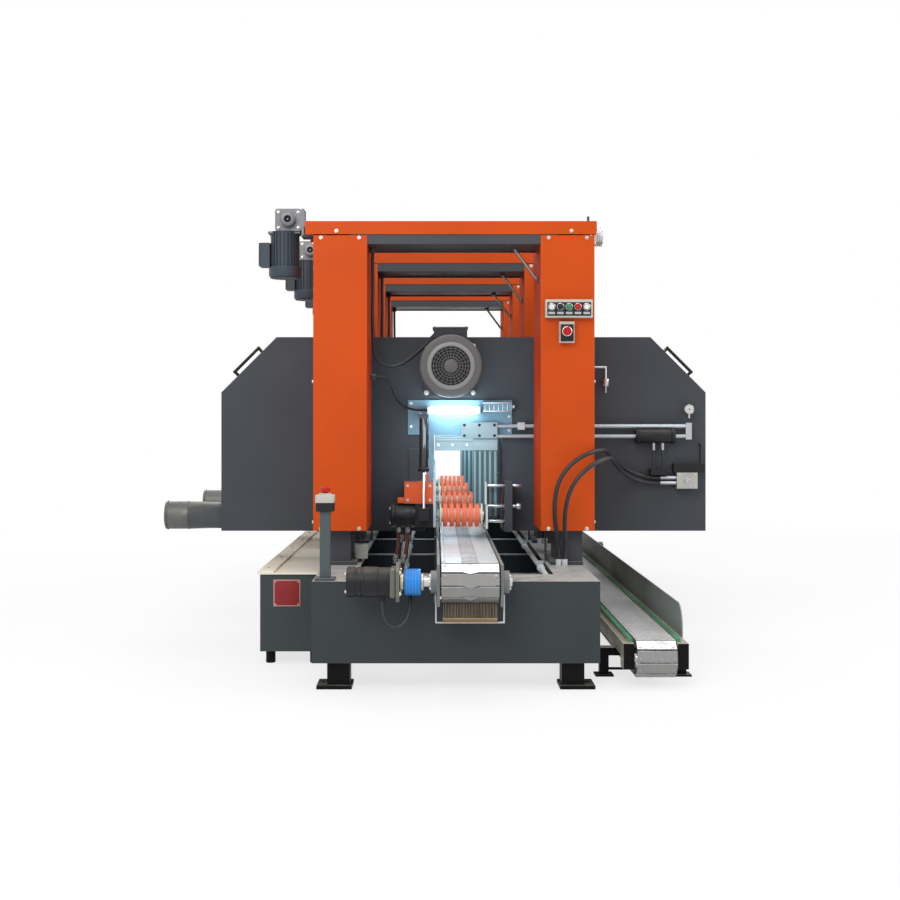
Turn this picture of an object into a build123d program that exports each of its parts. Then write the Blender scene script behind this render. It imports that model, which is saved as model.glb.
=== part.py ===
from build123d import *
import math
import os

# Multihead horizontal resaw: bandsaw heads in a row over one slat conveyor.
# Millimetres. +X is the operator's right, +Y is the feed direction, +Z is up.
# The origin is on the floor, in the middle of the four corner anchor holes.

# Layout of the heads along the machine
head_count = 4
head_pitch = 1050.0
front_apron = 560.0
rear_apron = 990.0
line_x = 55.0

# Fits between pieces
run_gap = 0.05
slide_gap = 0.5
skin_gap = 0.3

# Base frame, folded from plate
base_width = 1200.0
base_top = 450.0
base_height = 340.0
base_plate = 12.0
rail_width = 170.0
apron_width = 250.0
tie_width = 100.0
tie_height = 120.0
tie_drop = 190.0
leg_size = 95.0
leg_inset = 62.0
leg_end_inset = 80.0
foot_size = 147.0
foot_thick = 15.0
foot_lead = 43.0
anchor_r = 9.0
anchor_edge = 26.0

# Portals: two posts and a crossbeam for each head
post_width = 120.0
post_depth = 300.0
post_wall = 10.0
post_setback = 70.0
post_foot_thick = 15.0
post_foot_lead = 30.0
beam_height = 45.0
beam_depth = 255.0
beam_wall = 8.0
portal_top = 1978.0
guide_width = 40.0
guide_thick = 20.0
guide_bottom = 560.0
guide_top = 1900.0
stay_r = 7.0
stay_run = 112.0
stay_drop = 148.0
stay_tab = 30.0
stay_tab_thick = 8.0

# Painted covers on the portals
sheet = 4.0
fold_r = 6.0
cover_gap = 798.0
cover_width = 249.0
cover_depth = 404.0
cover_bottom = 612.0
cover_reveal = 6.0
rib_thick = 6.0
rib_low = 720.0
rib_middle = 1300.0
rib_high = 1860.0
cap_height = 60.0
cap_left = -685.0
cap_right = 658.0
cap_lip = 26.0

# Lift gear on top of each portal
lift_box_x = -772.0
lift_box_width = 123.0
lift_box_height = 104.0
lift_box_depth = 96.0
lift_drive_r = 26.7
lift_plug_r = 23.5
lift_plug_length = 18.0
lift_collar_r = 35.0
lift_collar_length = 8.0
lift_motor_x = -792.0
lift_motor_r = 68.0
lift_motor_length = 217.0
lift_motor_fins = 24
lift_fin_height = 6.0
lift_terminal_width = 45.0
lift_terminal_height = 110.0
lift_terminal_depth = 80.0
lift_bracket_thick = 12.0
chain_width = 14.0
chain_thick = 10.0
chain_under_cap = 13.0
sprocket_r = 20.0
sprocket_shaft_r = 8.0
drop_x = 440.0
tension_r = 45.0
tension_length = 37.0
tension_ribs = 4
screw_r = 6.0
screw_height = 42.0

# Saw head: wheel housing
housing_gap = 70.0
housing_half = 1206.0
housing_bottom = 571.0
housing_height = 965.0
housing_chamfer = 275.0
housing_depth = 250.0
housing_skin = 5.0
throat_half = 194.0
throat_top = 1050.0
blade_slot = 24.0

# Saw head: wheels, blade and drive
wheel_r = 400.0
wheel_end_gap = 60.0
wheel_z = 1020.0
wheel_width = 34.0
wheel_rim = 26.0
wheel_web = 12.0
wheel_hub_r = 62.0
wheel_holes = 5
wheel_hole_r = 62.0
wheel_hole_pcd_r = 215.0
wheel_front = 110.0
axle_r = 25.0
bearing_r = 60.0
bearing_length = 75.0
blade_width = 32.0
blade_thick = 1.2
pulley_r = 150.0
motor_pulley_r = 70.0
pulley_width = 20.0
belt_thick = 10.0
motor_x = -13.0
motor_z = 1374.0
motor_r = 140.0
motor_fins = 40
motor_fin_height = 14.0
motor_length = 330.0
fan_cover_r = 146.0
fan_cover_length = 70.0
motor_flange = 264.0
motor_flange_thick = 20.0
terminal_width = 160.0
terminal_height = 45.0
terminal_depth = 160.0
motor_shaft_r = 21.0

# Saw head: lift shoes and chain lugs
shoe_width = 80.0
shoe_height = 140.0
shoe_low = 620.0
shoe_high = 1340.0
lug_width = 30.0
lug_height = 40.0
lug_z = 1400.0

# Saw head: throat plate, lamp, press cylinder
throat_plate_left = -221.0
throat_plate_right = 296.0
throat_plate_top = 1222.0
throat_plate_thick = 10.0
strip_gap = 2.0
strip_width = 24.0
strip_thick = 20.0
strip_bottom = 820.0
strip_top = 1143.0
strip_tab_bottom = 900.0
strip_tab_height = 30.0
strip_tab_lap = 18.0
lamp_left = -124.0
lamp_right = 136.0
lamp_r = 17.0
lamp_z = 1172.0
lamp_stand = 62.0
lamp_cap = 12.0
lamp_box_width = 145.0
lamp_box_height = 50.0
lamp_box_depth = 55.0
press_x = -141.0
press_stand = 230.0
press_cylinder_r = 21.0
press_cylinder_bottom = 880.0
press_cylinder_top = 1130.0
press_bore_depth = 110.0
press_rod_r = 8.0
press_bracket_height = 22.0

# Saw head: press arm and roller
press_travel = 60.0
roller_stand = 150.0
roller_z = 661.0
roller_left = -63.0
roller_right = 142.0
roller_r = 56.0
roller_core_r = 34.0
roller_discs = 6
roller_disc_thick = 21.0
roller_flange = 6.0
roller_shaft_r = 20.0
roller_shaft_end = 8.0
bearing_block_left = -183.0
bearing_block_right = -95.0
bearing_block_half = 52.0
bearing_block_bottom = 606.0
arm_box_left = -235.0
arm_box_bottom = 720.0
arm_box_top = 821.0
arm_box_front = 200.0
arm_plate_thick = 12.0
arm_plate_top = 836.0
arm_guide_width = 50.0
arm_guide_thick = 12.0
arm_guide_bottom = 590.0
arm_guide_top = 980.0
arm_guide_x = -190.0
arm_slide_width = 90.0
arm_slide_thick = 40.0
hyd_motor_r = 58.0
hyd_motor_length = 119.0
hyd_port_r = 11.0
hyd_port_length = 26.0
clevis_width = 50.0
clevis_bottom = 640.0
clevis_top = 700.0

# Saw head: side fence on the right of the roller
fence_left = 156.0
fence_thick = 10.0
fence_front = 250.0
fence_back = 70.0
fence_bottom = 602.0
fence_top = 716.0
fence_mast_width = 40.0
fence_mast_top = 820.0
fence_rod_r = 8.0
fence_rod_stand = 100.0
fence_rod_high = 802.0
fence_rod_middle = 702.0
fence_rod_low = 628.0
fence_bracket_gap = 6.0
fence_bracket_width = 36.0
fence_rod_overhang = 44.0
fence_knob_r = 16.0
fence_knob_length = 22.0

# Saw head: sliding blade guide on the right
guide_stand = 46.0
slider_left = 102.0
slider_right = 221.0
slider_bottom = 640.0
slider_top = 1115.0
slider_thick = 24.0
slider_foot_width = 48.0
slider_foot_height = 50.0
slider_lift = 3.0
cross_left = -88.0
cross_bottom = 973.0
cross_height = 54.0
pilot_r = 10.0
pilot_z = 1093.0
piston_r = 10.0
piston_z = 1043.0
guide_cylinder_r = 35.0
guide_cylinder_left = 903.0
guide_cylinder_right = 1097.0
guide_saddle_width = 26.0
guide_saddle_inset = 30.0
yoke_left = 1150.0
yoke_width = 30.0
yoke_depth = 26.0
yoke_margin = 16.0
pilot_block_left = 320.0
pilot_block_width = 36.0
guide_port_r = 9.0
guide_port_length = 34.0
guide_port_pitch = 44.0
guide_port_x = 993.0
gauge_x = 1168.0
gauge_z = 1176.0
gauge_r = 24.0
gauge_length = 30.0
gauge_stem_r = 6.0
gauge_stem_drop = 44.0

# Saw head: hand valve
valve_left = 1104.0
valve_width = 102.0
valve_bottom = 785.0
valve_height = 79.0
valve_depth = 70.0
spool_left = 1091.0
spool_width = 151.0
spool_height = 44.0
spool_depth = 50.0
lever_x = 1226.0
lever_r = 6.0
lever_height = 94.0
lever_knob_r = 10.0
nipple_r = 10.0
nipple_length = 76.0
nipple_high = 838.0
nipple_low = 812.0
divider_width = 78.0
divider_bottom = 852.0
divider_height = 28.0

# Saw head: drip feed, dust duct, handles
drip_left = 700.0
drip_x = 758.0
drip_top = 1384.0
drip_bottom = 1257.0
drip_r = 6.0
drip_stand = 34.0
drip_cup_r = 17.0
drip_cup_height = 36.0
drip_cup_z = 1290.0
duct_z = 641.0
duct_height = 128.0
duct_depth = 150.0
duct_front = 50.0
duct_length = 180.0
spigot_r = 70.0
spigot_length = 118.0
duct_wall = 3.0
handle_length = 170.0
handle_r = 8.0
handle_stand = 42.0

# Feed conveyor
slat_width = 232.0
slat_pitch = 50.8
slat_thick = 8.0
slat_gap = 4.0
conveyor_top = 545.0
drum_outer_r = 80.0
drum_reach = 130.0
drum_length = 200.0
drum_shaft_r = 20.0
bed_plate = 12.0
bed_gap = 6.0
bed_height = 168.0
bed_nose = 62.0
bed_bearing_r = 46.0
bed_bearing_length = 25.0
wear_width = 40.0
wear_side = 70.0
wear_end = 42.0
spread_r = 16.0
spread_step = 900.0
coupling_r = 52.0
coupling_length = 66.0
coupling_gap = 40.0
feed_motor_r = 59.0
feed_motor_length = 200.0
feed_flange = 150.0
feed_flange_thick = 14.0
feed_gap = 20.0
feed_shaft_r = 16.0
feed_port_r = 12.0
feed_port_length = 20.0
feed_port_inset = 56.0
feed_gland_x = -188.0
feed_gland_z = 430.0

# Brush under the front drum
brush_length = 220.0
brush_back_height = 18.0
brush_back_depth = 46.0
brush_strand = 1.8
brush_rows = 8
brush_columns = 50
brush_strand_length = 58.0
brush_wire_r = 4.0
brush_wire_drop = 6.0

# Return conveyor on the right
return_gap = 102.0
return_slat_width = 166.0
return_top = 199.0
return_drum_r = 79.0
return_drum_length = 140.0
return_shaft_r = 17.0
return_rail_gap = 8.0
return_rail_width = 46.0
return_rail_height = 60.0
return_rail_drop = 14.0
return_strip_width = 20.0
return_strip_height = 14.0
return_bar_width = 60.0
return_bar_height = 34.0
return_bar_right = 1016.0
return_bar_inset = 308.0
return_bars = 4
return_leg = 40.0
return_leg_gap = 55.0
return_leg_lead = 20.0
return_foot = 80.0
return_foot_thick = 8.0
return_wear_width = 30.0
return_wear_side = 45.0
return_wear_end = 36.0
guard_thick = 5.0
guard_height = 200.0
guard_rear = 120.0
guard_front = 190.0
guard_round = 95.0
return_box_length = 100.0
return_box_height = 110.0
return_motor_r = 55.0
return_motor_length = 150.0

# Trunk along the left side
trunk_width = 292.0
trunk_bottom = 57.0
trunk_height = 355.0
trunk_wall = 4.0
trunk_lid_thick = 6.0
trunk_lid_lap = 10.0
trunk_ridge_width = 64.0
trunk_ridge_height = 10.0
trunk_rear_inset = 250.0
trunk_foot_r = 22.0

# Emergency stop post
stop_side_inset = 52.0
stop_inset = 62.0
stop_post = 44.0
stop_post_wall = 3.0
stop_foot = 84.0
stop_foot_thick = 10.0
stop_box_bottom = 738.0
stop_box_height = 68.0
stop_box_width = 76.0
stop_box_depth = 70.0
stop_collar_r = 26.0
stop_collar_height = 8.0
stop_stem_r = 11.0
stop_cap_r = 20.0
stop_cap_height = 22.0
stop_travel = 6.0

# Control station on the right column
panel_left = 419.0
panel_width = 216.0
panel_bottom = 1591.0
panel_height = 83.0
panel_depth = 34.0
panel_wall = 3.0
button_pitch = 40.0
button_z = 1640.0
button_r = 13.0
button_stem_r = 9.0
button_travel = 4.0
button_cap = 8.0
pilot_lamp_r = 12.0
pilot_lamp_length = 10.0
selector_left = 483.0
selector_width = 69.0
selector_bottom = 1476.0
selector_height = 97.0
selector_depth = 30.0
selector_z = 1528.0
selector_r = 20.0
selector_stem_r = 9.0
selector_length = 14.0
selector_grip = 9.0

# Hydraulic pipes inside the base
pipe_r = 12.0
supply_x = 404.0
supply_z = 436.0
press_pipe_x = -250.0
press_pipe_z = 300.0
press_pipe_pitch = 40.0
tee_r = 18.0
tee_length = 44.0
tee_neck_r = 10.0
tee_neck = 34.0
clamp_length = 30.0

# Hoses and cables
supply_hose_r = 10.0
guide_hose_r = 5.5
press_hose_r = 9.0
feed_hose_r = 7.0
motor_cable_r = 8.0
lamp_cable_r = 6.0
gland_length = 24.0
gland_r = 14.0
motor_gland_x = -380.0
lamp_gland_stand = 200.0
lamp_gland_z = 1330.0
hose_gland_r = 13.0
hose_gland_height = 30.0
hose_gland_x = 484.0
hose_gland_pitch = 28.0
hose_gland_stand = 20.0

# Worked out from the sizes above
base_length = front_apron + (head_count - 1) * head_pitch + rear_apron
base_front = -base_length / 2
base_back = base_length / 2
base_side = base_width / 2
base_bottom = base_top - base_height
rail_inner = base_side - rail_width
tie_top = base_top - tie_drop
post_inner = base_side - post_width
post_middle = base_side - post_width / 2
cover_inner = cover_gap / 2
cover_outer = cover_inner + cover_width
cover_top = portal_top - cover_reveal
beam_bottom = portal_top - beam_height
housing_top = housing_bottom + housing_height
blade_z = wheel_z - wheel_r
cap_top = portal_top + cap_height
chain_run_z = cap_top - chain_under_cap
lift_axis_z = chain_run_z + chain_thick / 2 + skin_gap + lift_drive_r
lift_box_bottom = lift_axis_z - lift_box_height / 2
wheel_side = housing_half - wheel_r - wheel_end_gap
sprocket_z = chain_run_z - chain_thick / 2 - sprocket_r
bed_side = slat_width / 2 + bed_gap + bed_plate
notch_half = bed_side + bed_plate
drum_z = conveyor_top - drum_outer_r
notch_bottom = drum_z - drum_outer_r - 2 * bed_plate
anchor_x = base_side - leg_inset + foot_lead - anchor_edge

on_end = (Align.CENTER, Align.CENTER, Align.MIN)
heads = range(head_count)
sides = (-1, 1)


def block(x0, x1, y0, y1, z0, z1):
    """A box between two corners."""
    middle = Pos((x0 + x1) / 2, (y0 + y1) / 2, (z0 + z1) / 2)
    return middle * Box(abs(x1 - x0), abs(y1 - y0), abs(z1 - z0))


def rod_x(x0, x1, y, z, r):
    """A round bar along X."""
    return Pos(x0, y, z) * Rot(0, 90, 0) * Cylinder(r, x1 - x0, align=on_end)


def rod_y(y0, y1, x, z, r):
    """A round bar along Y."""
    return Pos(x, y0, z) * Rot(-90, 0, 0) * Cylinder(r, y1 - y0, align=on_end)


def rod_z(z0, z1, x, y, r):
    """A round bar along Z."""
    return Pos(x, y, z0) * Cylinder(r, z1 - z0, align=on_end)


def plate_xz(points, y0, y1):
    """A plate cut to an outline of (x, z) points, from y0 to y1."""
    outline = Polyline(*[(x, y0, z) for x, z in points], close=True)
    return extrude(make_face(outline), amount=y1 - y0, dir=(0, 1, 0))


def fin_points(count, r, height, x, z):
    """The outline of a round body with square fins, as (x, z) points."""
    points = []
    for i in range(count):
        for share, radius in ((0.0, r - height), (0.5, r - height), (0.5, r), (1.0, r)):
            turn = 2 * math.pi * (i + share) / count
            points.append((x + radius * math.cos(turn), z + radius * math.sin(turn)))
    return points


def save(name, pieces):
    """Write one node, as a group of separate solids."""
    solids = [solid for piece in pieces for solid in piece.solids()]
    export_step(Compound(solids), f"parts/{name}.step")


def cover_front(k):
    """Front face of the column covers of head k."""
    return base_front + front_apron + k * head_pitch


def face_y(k):
    """Front face of the wheel housing of head k."""
    return cover_front(k) + cover_depth + housing_gap


def lift_y(k):
    """Middle of the lift gearbox of head k."""
    return cover_front(k) + sheet + beam_depth / 2


def strand_y(k, side):
    """Middle of the lift chain that goes down the column on one side."""
    first = lift_y(k) + lift_box_depth / 2 + chain_width
    return first if side < 0 else first + chain_width + sheet


def base_frame():
    """Plate base: side rails, aprons, ties, legs and feet with anchor holes."""
    web = base_side - base_plate
    pieces = []
    for y_out, y_in in ((base_front, base_front + base_plate), (base_back, base_back - base_plate)):
        pieces.append(plate_xz(
            [
                (-base_side, base_bottom),
                (base_side, base_bottom),
                (base_side, base_top),
                (line_x + notch_half, base_top),
                (line_x + notch_half, notch_bottom),
                (line_x - notch_half, notch_bottom),
                (line_x - notch_half, base_top),
                (-base_side, base_top),
            ],
            min(y_out, y_in),
            max(y_out, y_in),
        ))
    for side in sides:
        front, back = base_front + base_plate, base_back - base_plate
        pieces.append(block(side * web, side * base_side, front, back, base_bottom, base_top))
        for z in (base_bottom, base_top - base_plate):
            rail_front, rail_back = base_front + apron_width, base_back - apron_width
            pieces.append(block(side * rail_inner, side * web, rail_front, rail_back, z, z + base_plate))
            near = line_x + side * notch_half
            pieces.append(block(near, side * web, front, rail_front, z, z + base_plate))
            pieces.append(block(near, side * web, rail_back, back, z, z + base_plate))
        for y in (base_front + leg_end_inset, 0.0, base_back - leg_end_inset):
            outer = base_side - leg_inset
            pieces.append(block(side * (outer - leg_size), side * outer, y - leg_size / 2,
                                y + leg_size / 2, foot_thick, base_bottom))
            edge = outer + foot_lead
            foot = block(side * (edge - foot_size), side * edge, y - foot_size / 2,
                         y + foot_size / 2, 0, foot_thick)
            pieces.append(foot - rod_z(-foot_thick, 2 * foot_thick, side * anchor_x, y, anchor_r))
    for k in heads:
        y = cover_front(k) + post_setback + post_depth / 2
        pieces.append(block(-web, web, y - tie_width / 2, y + tie_width / 2, tie_top - tie_height, tie_top))
    return pieces


def post(k, side):
    """One hollow post on its foot plate, with its guide rail and the ribs that carry the cover."""
    y0 = cover_front(k) + post_setback
    y1 = y0 + post_depth
    foot_top = base_top + post_foot_thick
    tube = block(side * post_inner, side * base_side, y0, y1, foot_top, portal_top)
    tube -= block(side * (post_inner + post_wall), side * (base_side - post_wall), y0 + post_wall,
                  y1 - post_wall, foot_top, portal_top)
    foot = block(side * (post_inner - post_foot_lead), side * base_side, y0 - post_foot_lead,
                 y1 + post_foot_lead, base_top, foot_top)
    guide = block(side * (post_middle - guide_width / 2), side * (post_middle + guide_width / 2),
                  y1, y1 + guide_thick, guide_bottom, guide_top)
    pieces = [tube, foot, guide]
    for z in (rib_low, rib_middle, rib_high):
        wide = block(side * (cover_inner + sheet), side * (cover_outer - sheet),
                     cover_front(k) + sheet, y0, z, z + rib_thick)
        flank = block(side * base_side, side * (cover_outer - sheet), y0, y1, z, z + rib_thick)
        pieces.append(wide + flank)
    return pieces


def crossbeam(k):
    """Flat box beam between the posts, slotted where the lift chains go down."""
    y0 = cover_front(k) + sheet
    beam = block(-post_inner, post_inner, y0, y0 + beam_depth, beam_bottom, portal_top)
    beam -= block(-post_inner, post_inner, y0 + beam_wall, y0 + beam_depth - beam_wall,
                  beam_bottom + beam_wall, portal_top - beam_wall)
    for side in sides:
        y = strand_y(k, side)
        beam -= block(side * drop_x - chain_thick, side * drop_x + chain_thick, y - chain_width,
                      y + chain_width, beam_bottom, portal_top)
    return beam


def stay(k):
    """Slanted stay from the beam's underside to the right column cover."""
    y = lift_y(k)
    top_x = cover_inner - stay_run
    low_z = beam_bottom - stay_drop
    top_tab = block(top_x - stay_tab / 2, top_x + stay_tab / 2, y - stay_tab / 2, y + stay_tab / 2,
                    beam_bottom - stay_tab_thick, beam_bottom)
    low_tab = block(cover_inner - stay_tab_thick, cover_inner, y - stay_tab / 2, y + stay_tab / 2,
                    low_z - stay_tab / 2, low_z + stay_tab / 2)
    start = Vector(top_x, y, beam_bottom - stay_tab_thick)
    end = Vector(cover_inner - stay_tab_thick, y, low_z)
    bar = Plane(start, z_dir=end - start) * Cylinder(stay_r, (end - start).length, align=on_end)
    return bar + top_tab + low_tab


def portal_frames():
    """Posts, crossbeams and stays, with the cable glands of each portal."""
    pieces = []
    for k in heads:
        for side in sides:
            pieces += post(k, side)
        pieces += [crossbeam(k), stay(k)]
        pieces.append(rod_z(beam_bottom - gland_length, beam_bottom, motor_gland_x, lift_y(k), gland_r))
        pieces.append(rod_x(-cover_inner, gland_length - cover_inner, face_y(k) - lamp_gland_stand,
                            lamp_gland_z, gland_r))
    return pieces


def column_cover(k, side):
    """Folded sheet round the front and both sides of a post, open towards the head."""
    y0 = cover_front(k)
    y1 = y0 + cover_depth
    cover = block(side * cover_inner, side * cover_outer, y0, y1, cover_bottom, cover_top)
    cover = fillet(cover.edges().filter_by(Axis.Z).group_by(Axis.Y)[0], fold_r)
    cover -= block(side * (cover_inner + sheet), side * (cover_outer - sheet), y0 + sheet, y1,
                   cover_bottom, cover_top)
    return cover - block(side * cover_inner, side * (cover_inner + sheet), y0 + sheet,
                         y0 + sheet + beam_depth, beam_bottom, cover_top)


def beam_cap(k):
    """Folded cap over the lift chains, standing on the beam on two lips."""
    y0 = cover_front(k)
    y1 = y0 + beam_depth + 2 * sheet
    cap = block(cap_left, cap_right, y0, y1, portal_top, cap_top)
    cap -= block(cap_left, cap_right, y0 + sheet, y1 - sheet, portal_top + sheet, cap_top - sheet)
    return cap - block(cap_left, cap_right, y0 + sheet + cap_lip, y1 - sheet - cap_lip,
                       portal_top, portal_top + sheet)


def portal_covers():
    pieces = []
    for k in heads:
        pieces += [column_cover(k, side) for side in sides]
        pieces.append(beam_cap(k))
    return pieces


def lift_chain(k, side):
    """Chain from the gearbox along the cap, round a sprocket and down to the base."""
    y = strand_y(k, side)
    y0, y1 = y - chain_width / 2, y + chain_width / 2
    turn_x = side * drop_x - sprocket_r - chain_thick / 2
    run = block(lift_box_x, turn_x, y0, y1, chain_run_z - chain_thick / 2, chain_run_z + chain_thick / 2)
    outer_r = sprocket_r + chain_thick
    bend = rod_y(y0, y1, turn_x, sprocket_z, outer_r) - rod_y(y0, y1, turn_x, sprocket_z, sprocket_r)
    bend &= block(turn_x, turn_x + outer_r, y0, y1, sprocket_z, sprocket_z + outer_r)
    drop = block(side * drop_x - chain_thick / 2, side * drop_x + chain_thick / 2, y0, y1,
                 base_top, sprocket_z)
    return [run, bend, drop]


def lift_sprocket(k, side):
    """Turning sprocket on its pin, carried by a cheek on the beam."""
    y = strand_y(k, side)
    turn_x = side * drop_x - sprocket_r - chain_thick / 2
    y0, y1 = y - chain_width / 2, y + chain_width / 2
    cheek_y = y1 + sheet if side > 0 else y0 - sheet - chain_thick
    wheel = rod_y(y0, y1, turn_x, sprocket_z, sprocket_r - skin_gap)
    pin = rod_y(min(y0, cheek_y), max(y1, cheek_y + chain_thick), turn_x, sprocket_z, sprocket_shaft_r)
    cheek = block(turn_x - sprocket_shaft_r, turn_x + sprocket_shaft_r, cheek_y, cheek_y + chain_thick,
                  portal_top, sprocket_z)
    return wheel + pin + cheek


def lift_gear(k):
    """Worm gearbox with its hanging motor, on a bracket at the left end of the beam."""
    y = lift_y(k)
    half = lift_box_depth / 2
    left, right = lift_box_x - lift_box_width / 2, lift_box_x + lift_box_width / 2
    box = block(left, right, y - half, y + half, lift_box_bottom, lift_box_bottom + lift_box_height)
    box = fillet(box.edges().filter_by(Axis.Y), 3 * sheet)
    collar = rod_y(y - half - lift_collar_length, y - half, lift_box_x, lift_axis_z, lift_collar_r)
    plug_front = y - half - lift_collar_length - lift_plug_length
    plug = rod_y(plug_front, plug_front + lift_plug_length, lift_box_x, lift_axis_z, lift_plug_r)
    drive = rod_y(y + half, strand_y(k, 1) + chain_width / 2, lift_box_x, lift_axis_z, lift_drive_r)
    motor_bottom = lift_box_bottom - lift_motor_length
    fins = fin_points(lift_motor_fins, lift_motor_r, lift_fin_height, 0, 0)
    outline = Polyline(*[(lift_motor_x + a, y + b, motor_bottom) for a, b in fins], close=True)
    motor = extrude(make_face(outline), amount=lift_motor_length, dir=(0, 0, 1))
    terminal_right = lift_motor_x - lift_motor_r
    middle_z = lift_box_bottom - lift_motor_length / 2
    terminal = block(terminal_right - lift_terminal_width, terminal_right, y - lift_terminal_depth / 2,
                     y + lift_terminal_depth / 2, middle_z - lift_terminal_height / 2,
                     middle_z + lift_terminal_height / 2)
    bracket_right = right + lift_bracket_thick
    bracket = block(right, bracket_right, y - half, y + half, portal_top, lift_box_bottom + lift_box_height)
    bracket += block(bracket_right, -post_inner, y - half, y + half, portal_top,
                     portal_top + lift_bracket_thick)
    return [box, collar, plug, drive, motor, terminal, bracket]


def lift_tension(k):
    """Ribbed chain tensioner at the right end of the cap, and its screw on top."""
    y = lift_y(k)
    z = portal_top + rib_thick
    left = cap_right + rib_thick
    plate = block(cap_right, left, y - tension_r, y + tension_r, z - tension_r, cap_top)
    body = rod_x(left, left + tension_length, y, z, tension_r - 2 * rib_thick)
    pitch = tension_length / tension_ribs
    for i in range(tension_ribs):
        body += rod_x(left + i * pitch, left + (i + 0.5) * pitch, y, z, tension_r)
    screw_x = cap_right - 4 * screw_r
    screw = rod_z(cap_top, cap_top + screw_height, screw_x, y, screw_r)
    nut = rod_z(cap_top, cap_top + 2 * screw_r, screw_x, y, 2 * screw_r)
    return [plate, body, screw + nut]


def lift_gearmotors():
    pieces = []
    for k in heads:
        pieces += lift_gear(k)
        pieces += lift_tension(k)
        for side in sides:
            pieces += lift_chain(k, side)
            pieces.append(lift_sprocket(k, side))
    return pieces


def housing_outline():
    """Outline of the wheel housing: upper corners cut off, throat open at the bottom."""
    left, right = line_x - housing_half, line_x + housing_half
    throat_left, throat_right = line_x - throat_half, line_x + throat_half
    shoulder = housing_top - housing_chamfer
    return [
        (left, housing_bottom),
        (throat_left, housing_bottom),
        (throat_left, throat_top),
        (throat_right, throat_top),
        (throat_right, housing_bottom),
        (right, housing_bottom),
        (right, shoulder),
        (right - housing_chamfer, housing_top),
        (left + housing_chamfer, housing_top),
        (left, shoulder),
    ]


def housing(k):
    """Front plate and rim in one shell, and the rear cover that closes it."""
    front = face_y(k)
    lid = front + housing_depth - housing_skin
    outline = Polyline(*[(x, front, z) for x, z in housing_outline()], close=True)
    face = make_face(outline)
    shell = extrude(face, amount=housing_depth - housing_skin, dir=(0, 1, 0))
    room = Pos(0, housing_skin, 0) * offset(face, -housing_skin, kind=Kind.INTERSECTION)
    shell -= extrude(room, amount=housing_depth, dir=(0, 1, 0))
    band = front + wheel_front + wheel_width / 2
    shell -= block(line_x - throat_half - 2 * housing_skin, line_x + throat_half + 2 * housing_skin,
                   band - blade_width, band + blade_width, blade_z - blade_slot / 2, blade_z + blade_slot / 2)
    shell -= rod_y(front, front + housing_skin, motor_x, motor_z, motor_shaft_r + housing_skin)
    left = line_x - housing_half
    shell -= block(left, left + housing_skin, front + duct_front, front + duct_front + duct_depth,
                   duct_z - duct_height / 2 + duct_wall, duct_z + duct_height / 2 - duct_wall)
    return [shell, plate_xz(housing_outline(), lid, lid + housing_skin)]


def wheel(k, side):
    """Band wheel with a rim, a drilled web and a hub."""
    x = line_x + side * wheel_side
    y0 = face_y(k) + wheel_front
    y1 = y0 + wheel_width
    middle = (y0 + y1) / 2
    inner_r = wheel_r - wheel_rim
    body = rod_y(y0, y1, x, wheel_z, wheel_r) - rod_y(y0, y1, x, wheel_z, inner_r)
    web = rod_y(middle - wheel_web / 2, middle + wheel_web / 2, x, wheel_z, inner_r)
    for i in range(wheel_holes):
        turn = 2 * math.pi * i / wheel_holes
        hole_x = x + wheel_hole_pcd_r * math.cos(turn)
        hole_z = wheel_z + wheel_hole_pcd_r * math.sin(turn)
        web -= rod_y(y0, y1, hole_x, hole_z, wheel_hole_r)
    hub = rod_y(y0 - housing_skin, y1 + housing_skin, x, wheel_z, wheel_hub_r)
    return body + web + hub


def drive_wheel(k):
    """Left wheel, with the belt pulley and the shaft that runs in the bearing."""
    x = line_x - wheel_side
    front = face_y(k)
    bearing_end = front + housing_skin + bearing_length
    pulley_front = bearing_end + housing_skin
    shaft = rod_y(front + 2 * housing_skin, front + wheel_front, x, wheel_z, axle_r)
    pulley = rod_y(pulley_front, pulley_front + pulley_width, x, wheel_z, pulley_r)
    return [wheel(k, -1) + shaft + pulley]


def idler_wheel(k):
    """Right wheel, which turns on the tension axle."""
    front = face_y(k)
    bore = rod_y(front, front + housing_depth, line_x + wheel_side, wheel_z, axle_r + run_gap)
    return [wheel(k, 1) - bore]


def blade(k):
    """Endless bandsaw blade round both wheels."""
    y0 = face_y(k) + wheel_front + (wheel_width - blade_width) / 2
    inner_r = wheel_r + skin_gap
    ring = SlotCenterToCenter(2 * wheel_side, 2 * (inner_r + blade_thick))
    ring -= SlotCenterToCenter(2 * wheel_side, 2 * inner_r)
    plane = Plane((line_x, y0, wheel_z), x_dir=(1, 0, 0), z_dir=(0, 1, 0))
    return [extrude(plane * ring, amount=blade_width)]


def belt(k):
    """Drive belt from the motor pulley to the pulley on the drive wheel."""
    y0 = face_y(k) + 2 * housing_skin + bearing_length
    start = Vector(motor_x, motor_z)
    end = Vector(line_x - wheel_side, wheel_z)
    reach = (end - start).length
    aim = math.atan2(end.Y - start.Y, end.X - start.X)

    def loop(grow):
        small, large = motor_pulley_r + grow, pulley_r + grow
        lean = math.asin((large - small) / reach)
        up, down = aim + math.pi / 2 + lean, aim - math.pi / 2 - lean
        corners = []
        for middle, r, turn in ((start, small, up), (end, large, up), (end, large, down),
                                (start, small, down)):
            corners.append((middle.X + r * math.cos(turn), middle.Y + r * math.sin(turn)))
        strip = plate_xz(corners, y0, y0 + pulley_width)
        strip += rod_y(y0, y0 + pulley_width, start.X, start.Y, small)
        return strip + rod_y(y0, y0 + pulley_width, end.X, end.Y, large)

    return loop(skin_gap + belt_thick) - loop(skin_gap)


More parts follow.
